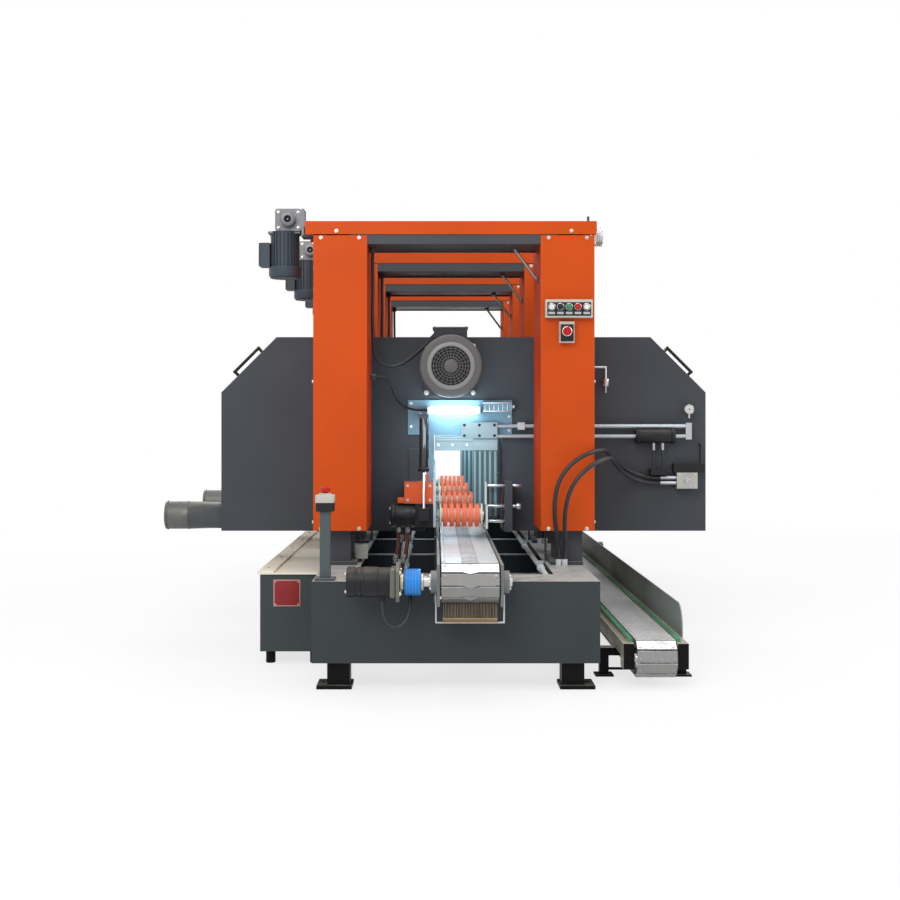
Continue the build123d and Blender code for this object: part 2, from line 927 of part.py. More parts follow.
def saw_motor(k):
    """Flange motor with fins, fan cover and terminal box, its pulley and the belt."""
    front = face_y(k)
    half = motor_flange / 2
    flange_front = front - motor_flange_thick
    flange = block(motor_x - half, motor_x + half, flange_front, front, motor_z - half, motor_z + half)
    flange = fillet(flange.edges().filter_by(Axis.Y), 6 * housing_skin)
    body_front = flange_front - motor_length
    body = plate_xz(fin_points(motor_fins, motor_r, motor_fin_height, motor_x, motor_z), body_front,
                    flange_front)
    fan = rod_y(body_front - fan_cover_length, body_front, motor_x, motor_z, fan_cover_r)
    fan = fillet(fan.edges().sort_by(Axis.Y)[:1], motor_fin_height)
    box_y = flange_front - motor_length / 2
    terminal = block(motor_x - terminal_width / 2, motor_x + terminal_width / 2, box_y - terminal_depth / 2,
                     box_y + terminal_depth / 2, motor_z + motor_r, motor_z + motor_r + terminal_height)
    root = Vector(motor_x - terminal_width / 2 + gland_r, box_y, motor_z + motor_r + terminal_height / 2)
    terminal += Plane(root, z_dir=(-1, 0, -1)) * Cylinder(gland_r, gland_length + gland_r, align=on_end)
    pulley_front = front + 2 * housing_skin + bearing_length
    shaft = rod_y(front, pulley_front, motor_x, motor_z, motor_shaft_r)
    pulley = rod_y(pulley_front, pulley_front + pulley_width, motor_x, motor_z, motor_pulley_r)
    return [flange, body, fan, terminal, shaft + pulley, belt(k)]


def lift_shoe(k, side, z):
    """Block behind the housing's front that slides on the post's guide rail."""
    guide_back = cover_front(k) + post_setback + post_depth + guide_thick
    front = guide_back - guide_thick + 2 * slide_gap
    x0, x1 = side * (post_middle - shoe_width / 2), side * (post_middle + shoe_width / 2)
    slot = guide_width / 2 + slide_gap
    shoe = block(x0, x1, front, face_y(k), z, z + shoe_height)
    return shoe - block(side * (post_middle - slot), side * (post_middle + slot), front,
                        guide_back + slide_gap, z, z + shoe_height)


def lift_lug(k, side):
    """Arm from the housing to the lift chain inside the column."""
    y = strand_y(k, side)
    x0, x1 = side * drop_x - lug_width / 2, side * drop_x + lug_width / 2
    lug = block(x0, x1, y - chain_width, face_y(k), lug_z, lug_z + lug_height)
    return lug - block(side * drop_x - chain_thick / 2 - slide_gap,
                       side * drop_x + chain_thick / 2 + slide_gap,
                       y - chain_width / 2 - slide_gap, y + chain_width / 2 + slide_gap, lug_z,
                       lug_z + lug_height)


def wheel_carriers(k):
    """Bearing of the drive wheel, and the tension block with the idler's axle."""
    inside = face_y(k) + housing_skin
    drive_x, idler_x = line_x - wheel_side, line_x + wheel_side
    bearing = rod_y(inside, inside + bearing_length, drive_x, wheel_z, bearing_r)
    bearing -= rod_y(inside + housing_skin - run_gap, inside + bearing_length, drive_x, wheel_z,
                     axle_r + run_gap)
    hub_end = face_y(k) + wheel_front + wheel_width + housing_skin
    axle = rod_y(inside, hub_end + slide_gap, idler_x, wheel_z, axle_r)
    axle += rod_y(hub_end + slide_gap, hub_end + 2 * housing_skin, idler_x, wheel_z,
                  wheel_hub_r - 4 * housing_skin)
    axle += block(idler_x - bearing_r, idler_x + bearing_r, inside, inside + bearing_length,
                  wheel_z - bearing_r, wheel_z + bearing_r)
    return [bearing, axle]


def throat_fittings(k):
    """Plate over the throat with the work lamp, the strip down its left side and the fixed blade guide."""
    front = face_y(k)
    plate_front = front - throat_plate_thick
    plate = block(throat_plate_left, throat_plate_right, plate_front, front, throat_top, throat_plate_top)
    y = front - lamp_stand
    lamp = rod_x(lamp_left, lamp_right, y, lamp_z, lamp_r)
    for x in (lamp_left, lamp_right - lamp_cap):
        lamp += block(x, x + lamp_cap, y - lamp_r, plate_front, lamp_z - lamp_r, lamp_z + lamp_r)
    box_left = lamp_right + lamp_cap
    box_top = throat_plate_top - throat_plate_thick
    box = block(box_left, box_left + lamp_box_width, plate_front - lamp_box_depth, plate_front,
                box_top - lamp_box_height, box_top)
    wall = line_x - throat_half
    strip_left = press_x + press_cylinder_r + strip_gap
    strip = block(strip_left, strip_left + strip_width, plate_front - strip_thick, plate_front, strip_bottom,
                  strip_top)
    strip += block(wall - strip_tab_lap, strip_left, plate_front - strip_thick, front, strip_tab_bottom,
                   strip_tab_bottom + strip_tab_height)
    band = front + wheel_front
    foot_bottom = blade_z + blade_thick + slider_lift
    guide = block(wall, wall + slider_foot_width, band, band + blade_width, foot_bottom,
                  foot_bottom + slider_foot_height)
    return [plate, lamp, box, strip, guide]


def press_fittings(k):
    """Press cylinder on its bracket, and the rail that the press arm slides on."""
    front = face_y(k)
    y = front - press_stand
    barrel = rod_z(press_cylinder_bottom, press_cylinder_top, press_x, y, press_cylinder_r)
    barrel -= rod_z(press_cylinder_bottom, press_cylinder_bottom + press_bore_depth, press_x, y,
                    press_rod_r + run_gap)
    bracket_top = press_cylinder_top + press_bracket_height
    bracket = block(press_x - press_cylinder_r, press_x + press_cylinder_r, y - press_cylinder_r,
                    front, press_cylinder_top, bracket_top)
    bracket -= block(throat_plate_left, throat_plate_right, front - throat_plate_thick, front,
                     throat_top, throat_plate_top)
    rail = block(arm_guide_x - arm_guide_width / 2, arm_guide_x + arm_guide_width / 2,
                 front - arm_guide_thick, front, arm_guide_bottom, arm_guide_top)
    return [barrel, bracket, rail]


def fence(k):
    """Side fence on three bars, with a clamp knob, on a bracket beside the throat."""
    front = face_y(k)
    right = fence_left + fence_thick
    y = front - fence_rod_stand
    plate = block(fence_left, right, front - fence_front, front - fence_back, fence_bottom, fence_top)
    mast = block(fence_left, right, y - fence_mast_width / 2, y + fence_mast_width / 2, fence_top,
                 fence_mast_top)
    bracket_left = line_x + throat_half + fence_bracket_gap
    bracket_right = bracket_left + fence_bracket_width
    bracket = block(bracket_left, bracket_right, y - fence_mast_width / 2, front,
                    housing_bottom + fence_bracket_gap, fence_mast_top)
    low = rod_x(right, bracket_left, y, fence_rod_low, fence_rod_r)
    bars = [low]
    for z, overhang in ((fence_rod_high, fence_rod_overhang), (fence_rod_middle, fence_rod_overhang / 2)):
        bars.append(rod_x(right, bracket_left, y, z, fence_rod_r))
        bars.append(rod_x(bracket_right, bracket_right + overhang, y, z, fence_rod_r))
    knob_left = bracket_right + fence_rod_overhang / 2
    knob = rod_x(knob_left, knob_left + fence_knob_length, y, fence_rod_middle, fence_knob_r)
    return [plate, mast, bracket, knob] + bars


def guide_fittings(k):
    """Hydraulic cylinder of the sliding blade guide, its pilot block and the gauge."""
    front = face_y(k)
    y = front - guide_stand
    barrel = rod_x(guide_cylinder_left, guide_cylinder_right, y, piston_z, guide_cylinder_r)
    right_saddle = guide_cylinder_right - guide_saddle_inset - guide_saddle_width
    for x in (guide_cylinder_left + guide_saddle_inset, right_saddle):
        barrel += block(x, x + guide_saddle_width, y, front, piston_z - guide_cylinder_r,
                        piston_z + guide_cylinder_r)
    for x in (guide_port_x, guide_port_x + guide_port_pitch):
        port_bottom = piston_z - guide_cylinder_r - guide_port_length
        barrel += rod_z(port_bottom, piston_z - piston_r - skin_gap, x, y, guide_port_r)
    barrel -= rod_x(guide_cylinder_left, guide_cylinder_right, y, piston_z, piston_r + run_gap)
    pilot_half = pilot_block_width / 2
    pilot = block(pilot_block_left, pilot_block_left + pilot_block_width, y - pilot_half, front,
                  pilot_z - pilot_half, pilot_z + pilot_half)
    pilot -= rod_x(pilot_block_left, pilot_block_left + pilot_block_width, y, pilot_z, pilot_r + run_gap)
    gauge = rod_y(y - gauge_length / 2, y + gauge_length / 2, gauge_x, gauge_z, gauge_r)
    gauge += rod_z(gauge_z - gauge_stem_drop, gauge_z, gauge_x, y, gauge_stem_r)
    gauge += rod_y(y, front, gauge_x, gauge_z, gauge_stem_r)
    return [barrel, pilot, gauge]


def valve(k):
    """Hand valve on the housing: port block, spool body with a lever, and its nipples."""
    front = face_y(k)
    valve_top = valve_bottom + valve_height
    body = block(valve_left, valve_left + valve_width, front - valve_depth, front, valve_bottom, valve_top)
    y = front - valve_depth / 2
    spool = block(spool_left, spool_left + spool_width, y - spool_depth / 2, y + spool_depth / 2,
                  valve_top, valve_top + spool_height)
    lever_top = valve_top + spool_height + lever_height
    spool += rod_z(valve_top + spool_height, lever_top, lever_x, y, lever_r)
    spool += Pos(lever_x, y, lever_top) * Sphere(lever_knob_r)
    for z in (nipple_low, nipple_high):
        body += rod_x(valve_left - nipple_length, valve_left, y, z, nipple_r)
    divider_x = guide_port_x + guide_port_pitch / 2
    divider = block(divider_x - divider_width / 2, divider_x + divider_width / 2, front - valve_depth, front,
                    divider_bottom, divider_bottom + divider_height)
    return [body, spool, divider]


def drip_feed(k):
    """Blade lubricant drip: pipe, elbow and sight cup."""
    front = face_y(k)
    y = front - drip_stand
    pipe = rod_y(y, front, drip_left, drip_top, drip_r) + rod_x(drip_left, drip_x, y, drip_top, drip_r)
    pipe += Pos(drip_left, y, drip_top) * Sphere(drip_r) + Pos(drip_x, y, drip_top) * Sphere(drip_r)
    pipe += rod_z(drip_bottom, drip_top, drip_x, y, drip_r)
    return [pipe + rod_z(drip_cup_z, drip_cup_z + drip_cup_height, drip_x, y, drip_cup_r)]


def dust_duct(k):
    """Sheet duct from the housing's left end to a round hose spigot."""
    left = line_x - housing_half
    y = face_y(k) + duct_front + duct_depth / 2
    start = Plane((left, y, duct_z), x_dir=(0, 1, 0), z_dir=(-1, 0, 0))
    end = Plane((left - duct_length, y, duct_z), x_dir=(0, 1, 0), z_dir=(-1, 0, 0))

    def funnel(shrink):
        mouth = start * RectangleRounded(duct_depth - 2 * shrink, duct_height - 2 * shrink,
                                         8 * duct_wall - shrink)
        cone = loft([mouth, end * Circle(spigot_r - shrink)])
        return cone + extrude(end * Circle(spigot_r - shrink), amount=spigot_length)

    return [funnel(0) - funnel(duct_wall)]


def handles(k):
    """A bar handle on each slanted shoulder of the housing."""
    middle_y = face_y(k) + housing_depth / 2
    inset = housing_half - housing_chamfer / 2
    pieces = []
    for side in sides:
        bar = Pos(0, 0, handle_stand) * Rot(0, 90, 0) * Cylinder(handle_r, handle_length + 2 * handle_r)
        for end in sides:
            bar += Pos(end * handle_length / 2, 0, 0) * Cylinder(handle_r, handle_stand, align=on_end)
        place = Pos(line_x + side * inset, middle_y, housing_top - housing_chamfer / 2) * Rot(0, side * 45, 0)
        pieces.append(place * bar)
    return pieces


def head_fittings(k):
    pieces = [lift_shoe(k, side, z) for side in sides for z in (shoe_low, shoe_high)]
    pieces += [lift_lug(k, side) for side in sides]
    for group in (wheel_carriers, throat_fittings, press_fittings, fence, guide_fittings, valve,
                  drip_feed, dust_duct, handles):
        pieces += group(k)
    return pieces


def guide_arm(k):
    """Sliding blade guide: its plate, foot and cross plate, the through piston rod, pilot rod and yoke."""
    front = face_y(k)
    y = front - guide_stand
    y0, y1 = y - slider_thick / 2, y + slider_thick / 2
    arm = block(slider_left, slider_right, y0, y1, slider_bottom, slider_top)
    foot_bottom = blade_z + blade_thick + slider_lift
    arm += block(slider_left, slider_left + slider_foot_width, y0, front + wheel_front + blade_width,
                 foot_bottom, foot_bottom + slider_foot_height)
    arm += rod_x(slider_right, yoke_left, y, piston_z, piston_r)
    arm += rod_x(slider_right, yoke_left, y, pilot_z, pilot_r)
    arm += block(yoke_left, yoke_left + yoke_width, y - yoke_depth / 2, y + yoke_depth / 2,
                 piston_z - yoke_margin, pilot_z + yoke_margin)
    cross = block(cross_left, slider_left, y0, y1, cross_bottom, cross_bottom + cross_height)
    return [arm, cross]


def press_arm(k):
    """Arm that holds the driven press roller: slide, box, bearing block, motor and rod."""
    front = face_y(k)
    y = front - roller_stand
    slide_left, slide_right = arm_guide_x - arm_slide_width / 2, arm_guide_x + arm_slide_width / 2
    rail_slot = arm_guide_width / 2 + slide_gap
    slide = block(slide_left, slide_right, front - arm_slide_thick, front - slide_gap, clevis_bottom,
                  arm_box_top)
    slide -= block(arm_guide_x - rail_slot, arm_guide_x + rail_slot, front - arm_guide_thick - slide_gap,
                   front, clevis_bottom, arm_box_top)
    box = block(arm_box_left, bearing_block_right, front - arm_box_front, front - arm_slide_thick,
                arm_box_bottom, arm_box_top)
    bearing = block(bearing_block_left, bearing_block_right, y - bearing_block_half, y + bearing_block_half,
                    bearing_block_bottom, arm_box_bottom)
    shaft_room = bearing_block_left + 2 * roller_shaft_end
    bearing -= rod_x(shaft_room, bearing_block_right, y, roller_z, roller_shaft_r + run_gap)
    plate_right = bearing_block_right + arm_plate_thick
    plate = block(bearing_block_right, plate_right, y - bearing_block_half, y + bearing_block_half,
                  bearing_block_bottom, arm_plate_top)
    plate -= rod_x(bearing_block_right, plate_right, y, roller_z, roller_shaft_r + 2 * slide_gap)
    motor_left = bearing_block_left - hyd_motor_length
    motor = rod_x(motor_left, bearing_block_left, y, roller_z, hyd_motor_r)
    for side in sides:
        port_x = bearing_block_left - hyd_motor_length / 2 + side * 2 * hyd_port_r
        motor += rod_z(roller_z - hyd_motor_r - hyd_port_length, roller_z, port_x, y, hyd_port_r)
    clevis = block(press_x - clevis_width / 2, press_x + clevis_width / 2,
                   front - press_stand - press_cylinder_r, y - bearing_block_half, clevis_bottom, clevis_top)
    rod_top = press_cylinder_bottom + press_bore_depth - press_travel - 4 * slide_gap
    clevis += rod_z(clevis_top, rod_top, press_x, front - press_stand, press_rod_r)
    return [slide, box, bearing, plate, motor, clevis]


def press_roller(k):
    """Driven press roller: discs between end flanges on a core, on a shaft that runs in the bearing block."""
    y = face_y(k) - roller_stand
    shaft_left = bearing_block_left + 2 * roller_shaft_end + slide_gap
    roller = rod_x(shaft_left, roller_right + roller_shaft_end, y, roller_z, roller_shaft_r)
    roller += rod_x(roller_left, roller_right, y, roller_z, roller_core_r)
    for x in (roller_left, roller_right - roller_flange):
        roller += rod_x(x, x + roller_flange, y, roller_z, roller_r)
    room = roller_right - roller_left - 2 * roller_flange - roller_discs * roller_disc_thick
    disc_gap = room / (roller_discs + 1)
    for i in range(roller_discs):
        x = roller_left + roller_flange + disc_gap + i * (roller_disc_thick + disc_gap)
        roller += rod_x(x, x + roller_disc_thick, y, roller_z, roller_r)
    return [roller]


def slats(x, width, y_front, y_back, z, r):
    """Flat slats of an endless chain round two drums, r from the axis to the slats' middle."""
    run = y_back - y_front
    half_turn = math.pi * r
    count = round(2 * (run + half_turn) / slat_pitch)
    pitch = 2 * (run + half_turn) / count
    pieces = []
    for i in range(count):
        s = i * pitch
        if s < run:
            y, turn = y_front + s, 0.0
        elif s < run + half_turn:
            y, turn = y_back, (s - run) / r
        elif s < 2 * run + half_turn:
            y, turn = y_back - (s - run - half_turn), math.pi
        else:
            y, turn = y_front, math.pi + (s - 2 * run - half_turn) / r
        place = Pos(x, y + r * math.sin(turn), z + r * math.cos(turn)) * Rot(-math.degrees(turn), 0, 0)
        pieces.append(place * Box(width, pitch - slat_gap, slat_thick))
    return pieces


drum_front = base_front - drum_reach
drum_back = base_back + drum_reach
bed_inner = slat_width / 2 + bed_gap
bed_top = conveyor_top - slat_thick / 2
bed_bottom = bed_top - bed_height
slat_inner_r = drum_outer_r - slat_thick
bearing_end = bed_side + bed_bearing_length
coupling_right = line_x - bearing_end - coupling_gap
coupling_left = coupling_right - coupling_length


def conveyor_bed():
    """Side plates with bearings, wear strips under both runs, spreaders and pedestals."""
    pieces = []
    for side in sides:
        plate = block(line_x + side * bed_inner, line_x + side * bed_side, drum_front - bed_nose,
                      drum_back + bed_nose, bed_bottom, bed_top)
        for y in (drum_front, drum_back):
            inner = line_x + min(side * bed_inner, side * bearing_end)
            outer = line_x + max(side * bed_inner, side * bearing_end)
            boss = line_x + min(side * bed_side, side * bearing_end)
            plate += rod_x(boss, boss + bed_bearing_length, y, drum_z, bed_bearing_r)
            plate -= rod_x(inner, outer, y, drum_z, drum_shaft_r + run_gap)
        pieces.append(plate)
        for z in (drum_z + slat_inner_r - bed_plate, drum_z - drum_outer_r - bed_plate / 2):
            height = bed_plate if z > drum_z else bed_plate / 2
            wear = line_x + side * wear_side
            pieces.append(block(wear - wear_width / 2, wear + wear_width / 2, drum_front + wear_end,
                                drum_back - wear_end, z, z + height))
        for k in heads:
            y = cover_front(k) + post_setback + post_depth / 2
            pieces.append(block(line_x + side * bed_inner, line_x + side * (bed_side + bed_plate),
                                y - tie_width / 2, y + tie_width / 2, tie_top, bed_bottom))
    spreads = int((drum_back - drum_front) / spread_step)
    for i in range(spreads):
        y = drum_front + (i + 0.5) * (drum_back - drum_front) / spreads
        bar = rod_x(line_x - bed_inner, line_x + bed_inner, y, drum_z, spread_r)
        for side in sides:
            wear = line_x + side * wear_side
            bar += block(wear - wear_width / 2, wear + wear_width / 2, y - spread_r, y + spread_r,
                         drum_z, drum_z + slat_inner_r - bed_plate)
        pieces.append(bar)
        pieces.append(block(line_x - bed_inner, line_x + bed_inner, y - spread_r, y + spread_r,
                            bed_bottom, drum_z - drum_outer_r - bed_plate / 2))
    return pieces


def feed_drum(y, left_end):
    """Chain drum on its shaft; left_end is where the shaft stops."""
    drum = rod_x(line_x - drum_length / 2, line_x + drum_length / 2, y, drum_z, slat_inner_r - skin_gap)
    return drum + rod_x(left_end, line_x + bearing_end + bed_plate, y, drum_z, drum_shaft_r)


def conveyor_drive_drum():
    """Front drum with its half of the shaft coupling."""
    drum = feed_drum(drum_front, coupling_right)
    return [drum + rod_x(coupling_left, coupling_right, drum_front, drum_z, coupling_r)]


def conveyor_tail_drum():
    return [feed_drum(drum_back, line_x - bearing_end - bed_plate)]


def feed_motor():
    """Hydraulic feed motor on a flange that a torque arm holds to the base front."""
    flange_right = coupling_left - feed_gap
    flange_left = flange_right - feed_flange_thick
    half = feed_flange / 2
    flange = block(flange_left, flange_right, drum_front - half, drum_front + half, drum_z - half,
                   drum_z + half)
    flange = chamfer(flange.edges().filter_by(Axis.X), half / 3)
    flange += rod_x(flange_right, coupling_left - slide_gap, drum_front, drum_z, feed_shaft_r)
    arm = block(flange_left, flange_right, drum_front + half, base_front, drum_z - half / 2, base_top)
    motor = rod_x(flange_left - feed_motor_length, flange_left, drum_front, drum_z, feed_motor_r)
    port_x = flange_left - feed_port_inset
    motor += rod_z(drum_z - feed_motor_r - feed_port_length, drum_z, port_x, drum_front, feed_port_r)
    gland = rod_y(base_front - gland_length, base_front, feed_gland_x, feed_gland_z, gland_r)
    return [flange + arm, motor, gland]


def chain_brush():
    """Strip brush under the front drum: wooden back, bristles, and its wire holder."""
    tip = drum_z - math.hypot(drum_outer_r, slat_pitch / 2) - skin_gap
    root = tip - brush_strand_length
    slice_height = brush_back_height / 3
    half_x, half_y = brush_length / 2, brush_back_depth / 2
    bed = block(line_x - half_x, line_x + half_x, drum_front - half_y, drum_front + half_y,
                root - slice_height, root)
    strands = []
    for i in range(brush_columns):
        for j in range(brush_rows):
            x = line_x - half_x + (i + 0.5) * brush_length / brush_columns
            y = drum_front - half_y + (j + 0.5) * brush_back_depth / brush_rows
            strands.append(block(x - brush_strand / 2, x + brush_strand / 2, y - brush_strand / 2,
                                 y + brush_strand / 2, root - slice_height / 2, tip))
    bristles = bed.fuse(*strands)
    bottom = root - brush_back_height
    back = block(line_x - half_x, line_x + half_x, drum_front - half_y, drum_front + half_y,
                 bottom, root - slice_height)
    wire_x = bed_side + brush_wire_r
    wire_z = bottom - brush_wire_r
    wire_top = drum_z - bed_bearing_r - brush_wire_drop
    wire = rod_x(line_x - wire_x, line_x + wire_x, drum_front, wire_z, brush_wire_r)
    for side in sides:
        wire += rod_z(wire_z, wire_top, line_x + side * wire_x, drum_front, brush_wire_r)
        wire += Pos(line_x + side * wire_x, drum_front, wire_z) * Sphere(brush_wire_r)
    return [bristles, back, wire]


return_z = return_top - return_drum_r
return_front = base_front + return_drum_r
return_back = base_back - return_drum_r
return_inner = return_slat_width / 2 + return_rail_gap
return_outer = return_inner + return_rail_width
return_x = base_side + return_gap + return_outer
return_leg_left = base_side + return_leg_gap
return_leg_right = return_x + return_outer + return_leg_lead
return_rail_top = return_top - return_rail_drop
return_rail_bottom = return_rail_top - return_rail_height
return_slat_r = return_drum_r - slat_thick


def return_drum(y, right_end):
    drum = rod_x(return_x - return_drum_length / 2, return_x + return_drum_length / 2, y, return_z,
                 return_slat_r - skin_gap)
    return [drum + rod_x(return_x - return_outer, right_end, y, return_z, return_shaft_r)]


def return_rail(side):
    """Side rail with a bearing block under each end, and its guide strip on top."""
    reach = 2.5 * return_shaft_r
    x0, x1 = return_x + side * return_inner, return_x + side * return_outer
    rail = block(x0, x1, return_front - reach, return_back + reach, return_rail_bottom, return_rail_top)
    for y in (return_front, return_back):
        rail += block(x0, x1, y - reach, y + reach, return_z - reach, return_rail_bottom)
        rail -= rod_x(min(x0, x1), max(x0, x1), y, return_z, return_shaft_r + run_gap)
    strip_edge = return_x + side * (return_inner + return_strip_width)
    strip = block(x0, strip_edge, return_front, return_back, return_rail_top,
                  return_rail_top + return_strip_height)
    return [rail, strip]


def return_bed():
    """Return conveyor frame: rails, bars, legs, wear strips, guard plate and its gearmotor."""
    pieces = return_rail(-1) + return_rail(1)
    bar_bottom = return_rail_bottom - return_bar_height
    low_strip = return_z - return_drum_r - slat_thick
    leg_half, bar_half, foot_half = return_leg / 2, return_bar_width / 2, return_foot / 2
    for i in range(return_bars):
        y = base_front + return_bar_inset + i * (base_length - 2 * return_bar_inset) / (return_bars - 1)
        pieces.append(block(base_side, return_bar_right, y - bar_half, y + bar_half, bar_bottom,
                            return_rail_bottom))
        for x in (return_leg_left, return_leg_right):
            leg = block(x - leg_half, x + leg_half, y - leg_half, y + leg_half, return_foot_thick, bar_bottom)
            foot = block(x - foot_half, x + foot_half, y - foot_half, y + foot_half, 0, return_foot_thick)
            pieces += [leg, foot]
        pieces.append(block(return_leg_left + leg_half, return_leg_right - leg_half, y - leg_half / 2,
                            y + leg_half / 2, low_strip - slat_thick, low_strip))
        for side in sides:
            wear = return_x + side * return_wear_side
            pieces.append(block(wear - return_wear_width / 2, wear + return_wear_width / 2, y - bar_half,
                                y + bar_half, return_rail_bottom, return_z + return_slat_r - slat_thick))
    for side in sides:
        wear = return_x + side * return_wear_side
        x0, x1 = wear - return_wear_width / 2, wear + return_wear_width / 2
        y0, y1 = return_front + return_wear_end, return_back - return_wear_end
        top = return_z + return_slat_r
        pieces.append(block(x0, x1, y0, y1, top - slat_thick, top))
        pieces.append(block(x0, x1, y0, y1, low_strip, low_strip + slat_thick))
    guard_x = return_x + return_outer
    guard = block(guard_x, guard_x + guard_thick, base_front + guard_front, return_back - guard_rear,
                  return_rail_bottom, return_rail_bottom + guard_height)
    corner = guard.edges().filter_by(Axis.X).group_by(Axis.Y)[0].sort_by(Axis.Z)[-1]
    pieces.append(fillet(corner, guard_round))
    half = return_box_height / 2
    box_right = guard_x + return_box_length
    box = block(guard_x, box_right, return_back - half, return_back + half, return_z - half, return_z + half)
    box -= rod_x(guard_x, guard_x + half, return_back, return_z, return_shaft_r + run_gap)
    motor = rod_x(box_right, box_right + return_motor_length, return_back, return_z, return_motor_r)
    return pieces + [box, motor]


def side_trunk():
    """Covered trunk along the left side: tray, lid with a raised strip, and feet."""
    left, right = -base_side - trunk_width, -base_side
    front, back = cover_front(0), base_back - trunk_rear_inset
    rim = trunk_bottom + trunk_height
    tray = block(left, right, front, back, trunk_bottom, rim)
    tray -= block(left + trunk_wall, right - trunk_wall, front + trunk_wall, back - trunk_wall,
                  trunk_bottom + trunk_wall, rim)
    lid = block(left - trunk_lid_lap, right, front - trunk_lid_lap, back + trunk_lid_lap, rim,
                rim + trunk_lid_thick)
    ridge_top = rim + trunk_lid_thick + trunk_ridge_height
    ridge = block(left - trunk_lid_lap, left + trunk_ridge_width, front - trunk_lid_lap, back + trunk_lid_lap,
                  rim + trunk_lid_thick, ridge_top)
    pieces = [tray, lid, ridge]
    for x in (left + 2 * trunk_foot_r, right - 2 * trunk_foot_r):
        for y in (front + 2 * trunk_foot_r, (front + back) / 2, back - 2 * trunk_foot_r):
            pieces.append(rod_z(0, trunk_bottom, x, y, trunk_foot_r))
    return pieces


stop_x = stop_side_inset - base_side
stop_y = base_front + stop_inset
stop_collar_top = stop_box_bottom + stop_box_height + stop_collar_height


def estop_station():
    """Emergency stop post on the base: foot, square tube, box and collar."""
    half, foot_half = stop_post / 2, stop_foot / 2
    foot_top = base_top + stop_foot_thick
    foot = block(stop_x - foot_half, stop_x + foot_half, stop_y - foot_half, stop_y + foot_half, base_top,
                 foot_top)
    tube = block(stop_x - half, stop_x + half, stop_y - half, stop_y + half, foot_top, stop_box_bottom)
    room = half - stop_post_wall
    tube -= block(stop_x - room, stop_x + room, stop_y - room, stop_y + room, foot_top, stop_box_bottom)
    box_top = stop_box_bottom + stop_box_height
    box = block(stop_x - stop_box_width / 2, stop_x + stop_box_width / 2, stop_y - stop_box_depth / 2,
                stop_y + stop_box_depth / 2, stop_box_bottom, box_top)
    box = fillet(box.edges().filter_by(Axis.Z), stop_collar_height)
    box += rod_z(box_top, stop_collar_top, stop_x, stop_y, stop_collar_r)
    box -= rod_z(stop_collar_top - 2 * stop_cap_height, stop_collar_top, stop_x, stop_y,
                 stop_stem_r + run_gap)
    return [foot, tube, box]


def estop_button():
    """Mushroom button on its stem."""
    under = stop_collar_top + stop_travel + skin_gap
    cap = rod_z(under, under + stop_cap_height, stop_x, stop_y, stop_cap_r)
    cap = fillet(cap.edges().sort_by(Axis.Z)[-1:], stop_cap_height / 3)
    return [cap + rod_z(stop_collar_top - stop_cap_height, under, stop_x, stop_y, stop_stem_r)]


panel_back = cover_front(0)
panel_front = panel_back - panel_depth
panel_middle = panel_left + panel_width / 2
selector_front = panel_back - selector_depth
selector_x = selector_left + selector_width / 2


def control_panel():
    """Push-button station and selector box on the right column, with two fixed pilot lamps."""
    station = block(panel_left, panel_left + panel_width, panel_front, panel_back, panel_bottom,
                    panel_bottom + panel_height)
    for i in (-1, 0, 1):
        station -= rod_y(panel_front, panel_back - panel_wall, panel_middle + i * button_pitch, button_z,
                         button_stem_r + run_gap)
    for i in (-2, 2):
        station += rod_y(panel_front - pilot_lamp_length, panel_front, panel_middle + i * button_pitch,
                         button_z, pilot_lamp_r)
    box = block(selector_left, selector_left + selector_width, selector_front, panel_back, selector_bottom,
                selector_bottom + selector_height)
    box -= rod_y(selector_front, panel_back - panel_wall, selector_x, selector_z, selector_stem_r + run_gap)
    return [station, box]


def push_button(i):
    """Push button number i, from -1 to 1, which travels into the station."""
    x = panel_middle + i * button_pitch
    under = panel_front - button_travel - skin_gap
    cap = rod_y(under - button_cap, under, x, button_z, button_r)
    return [cap + rod_y(under, panel_front + 2 * button_cap, x, button_z, button_stem_r)]


def mode_selector():
    """Rotary selector knob with a raised grip."""
    under = selector_front - skin_gap
    knob = rod_y(under - selector_length, under, selector_x, selector_z, selector_r)
    knob += block(selector_x - selector_grip / 2, selector_x + selector_grip / 2, under - 2 * selector_length,
                  under - selector_length, selector_z - selector_r, selector_z + selector_r)
    return [knob + rod_y(under, under + 2 * selector_grip, selector_x, selector_z, selector_stem_r)]


def hydraulic_pipes():
    """Pipes inside the base with their clamps and tees, and the hose ends on the base top."""
    end = face_y(head_count - 1)
    start = base_front + apron_width
    supply = rod_y(start, end, supply_x, supply_z, pipe_r)
    press = [rod_y(start, end, press_pipe_x - i * press_pipe_pitch, press_pipe_z, pipe_r) for i in (0, 1)]
    glands = []
    for k in heads:
        y = cover_front(k) + hose_gland_stand
        supply += rod_y(y, y + tee_length, supply_x, supply_z, tee_r)
        clamp_y = cover_front(k) + post_setback + post_depth / 2
        supply += block(supply_x, rail_inner, clamp_y - clamp_length / 2, clamp_y + clamp_length / 2,
                        base_top - 2 * base_plate, base_top)
        for i in (0, 1):
            x = press_pipe_x - i * press_pipe_pitch
            tee_y = face_y(k) - roller_stand
            press[i] += block(x - pipe_r, x + pipe_r, clamp_y - clamp_length / 2, clamp_y + clamp_length / 2,
                              tie_top, press_pipe_z)
            press[i] += rod_y(tee_y - tee_length / 2, tee_y + tee_length / 2, x, press_pipe_z, tee_r)
            press[i] += rod_z(press_pipe_z, press_pipe_z + tee_neck, x, tee_y, tee_neck_r)
            glands.append(rod_z(base_top, base_top + hose_gland_height,
                                hose_gland_x + i * hose_gland_pitch, y, hose_gland_r))
    return [supply] + press + glands


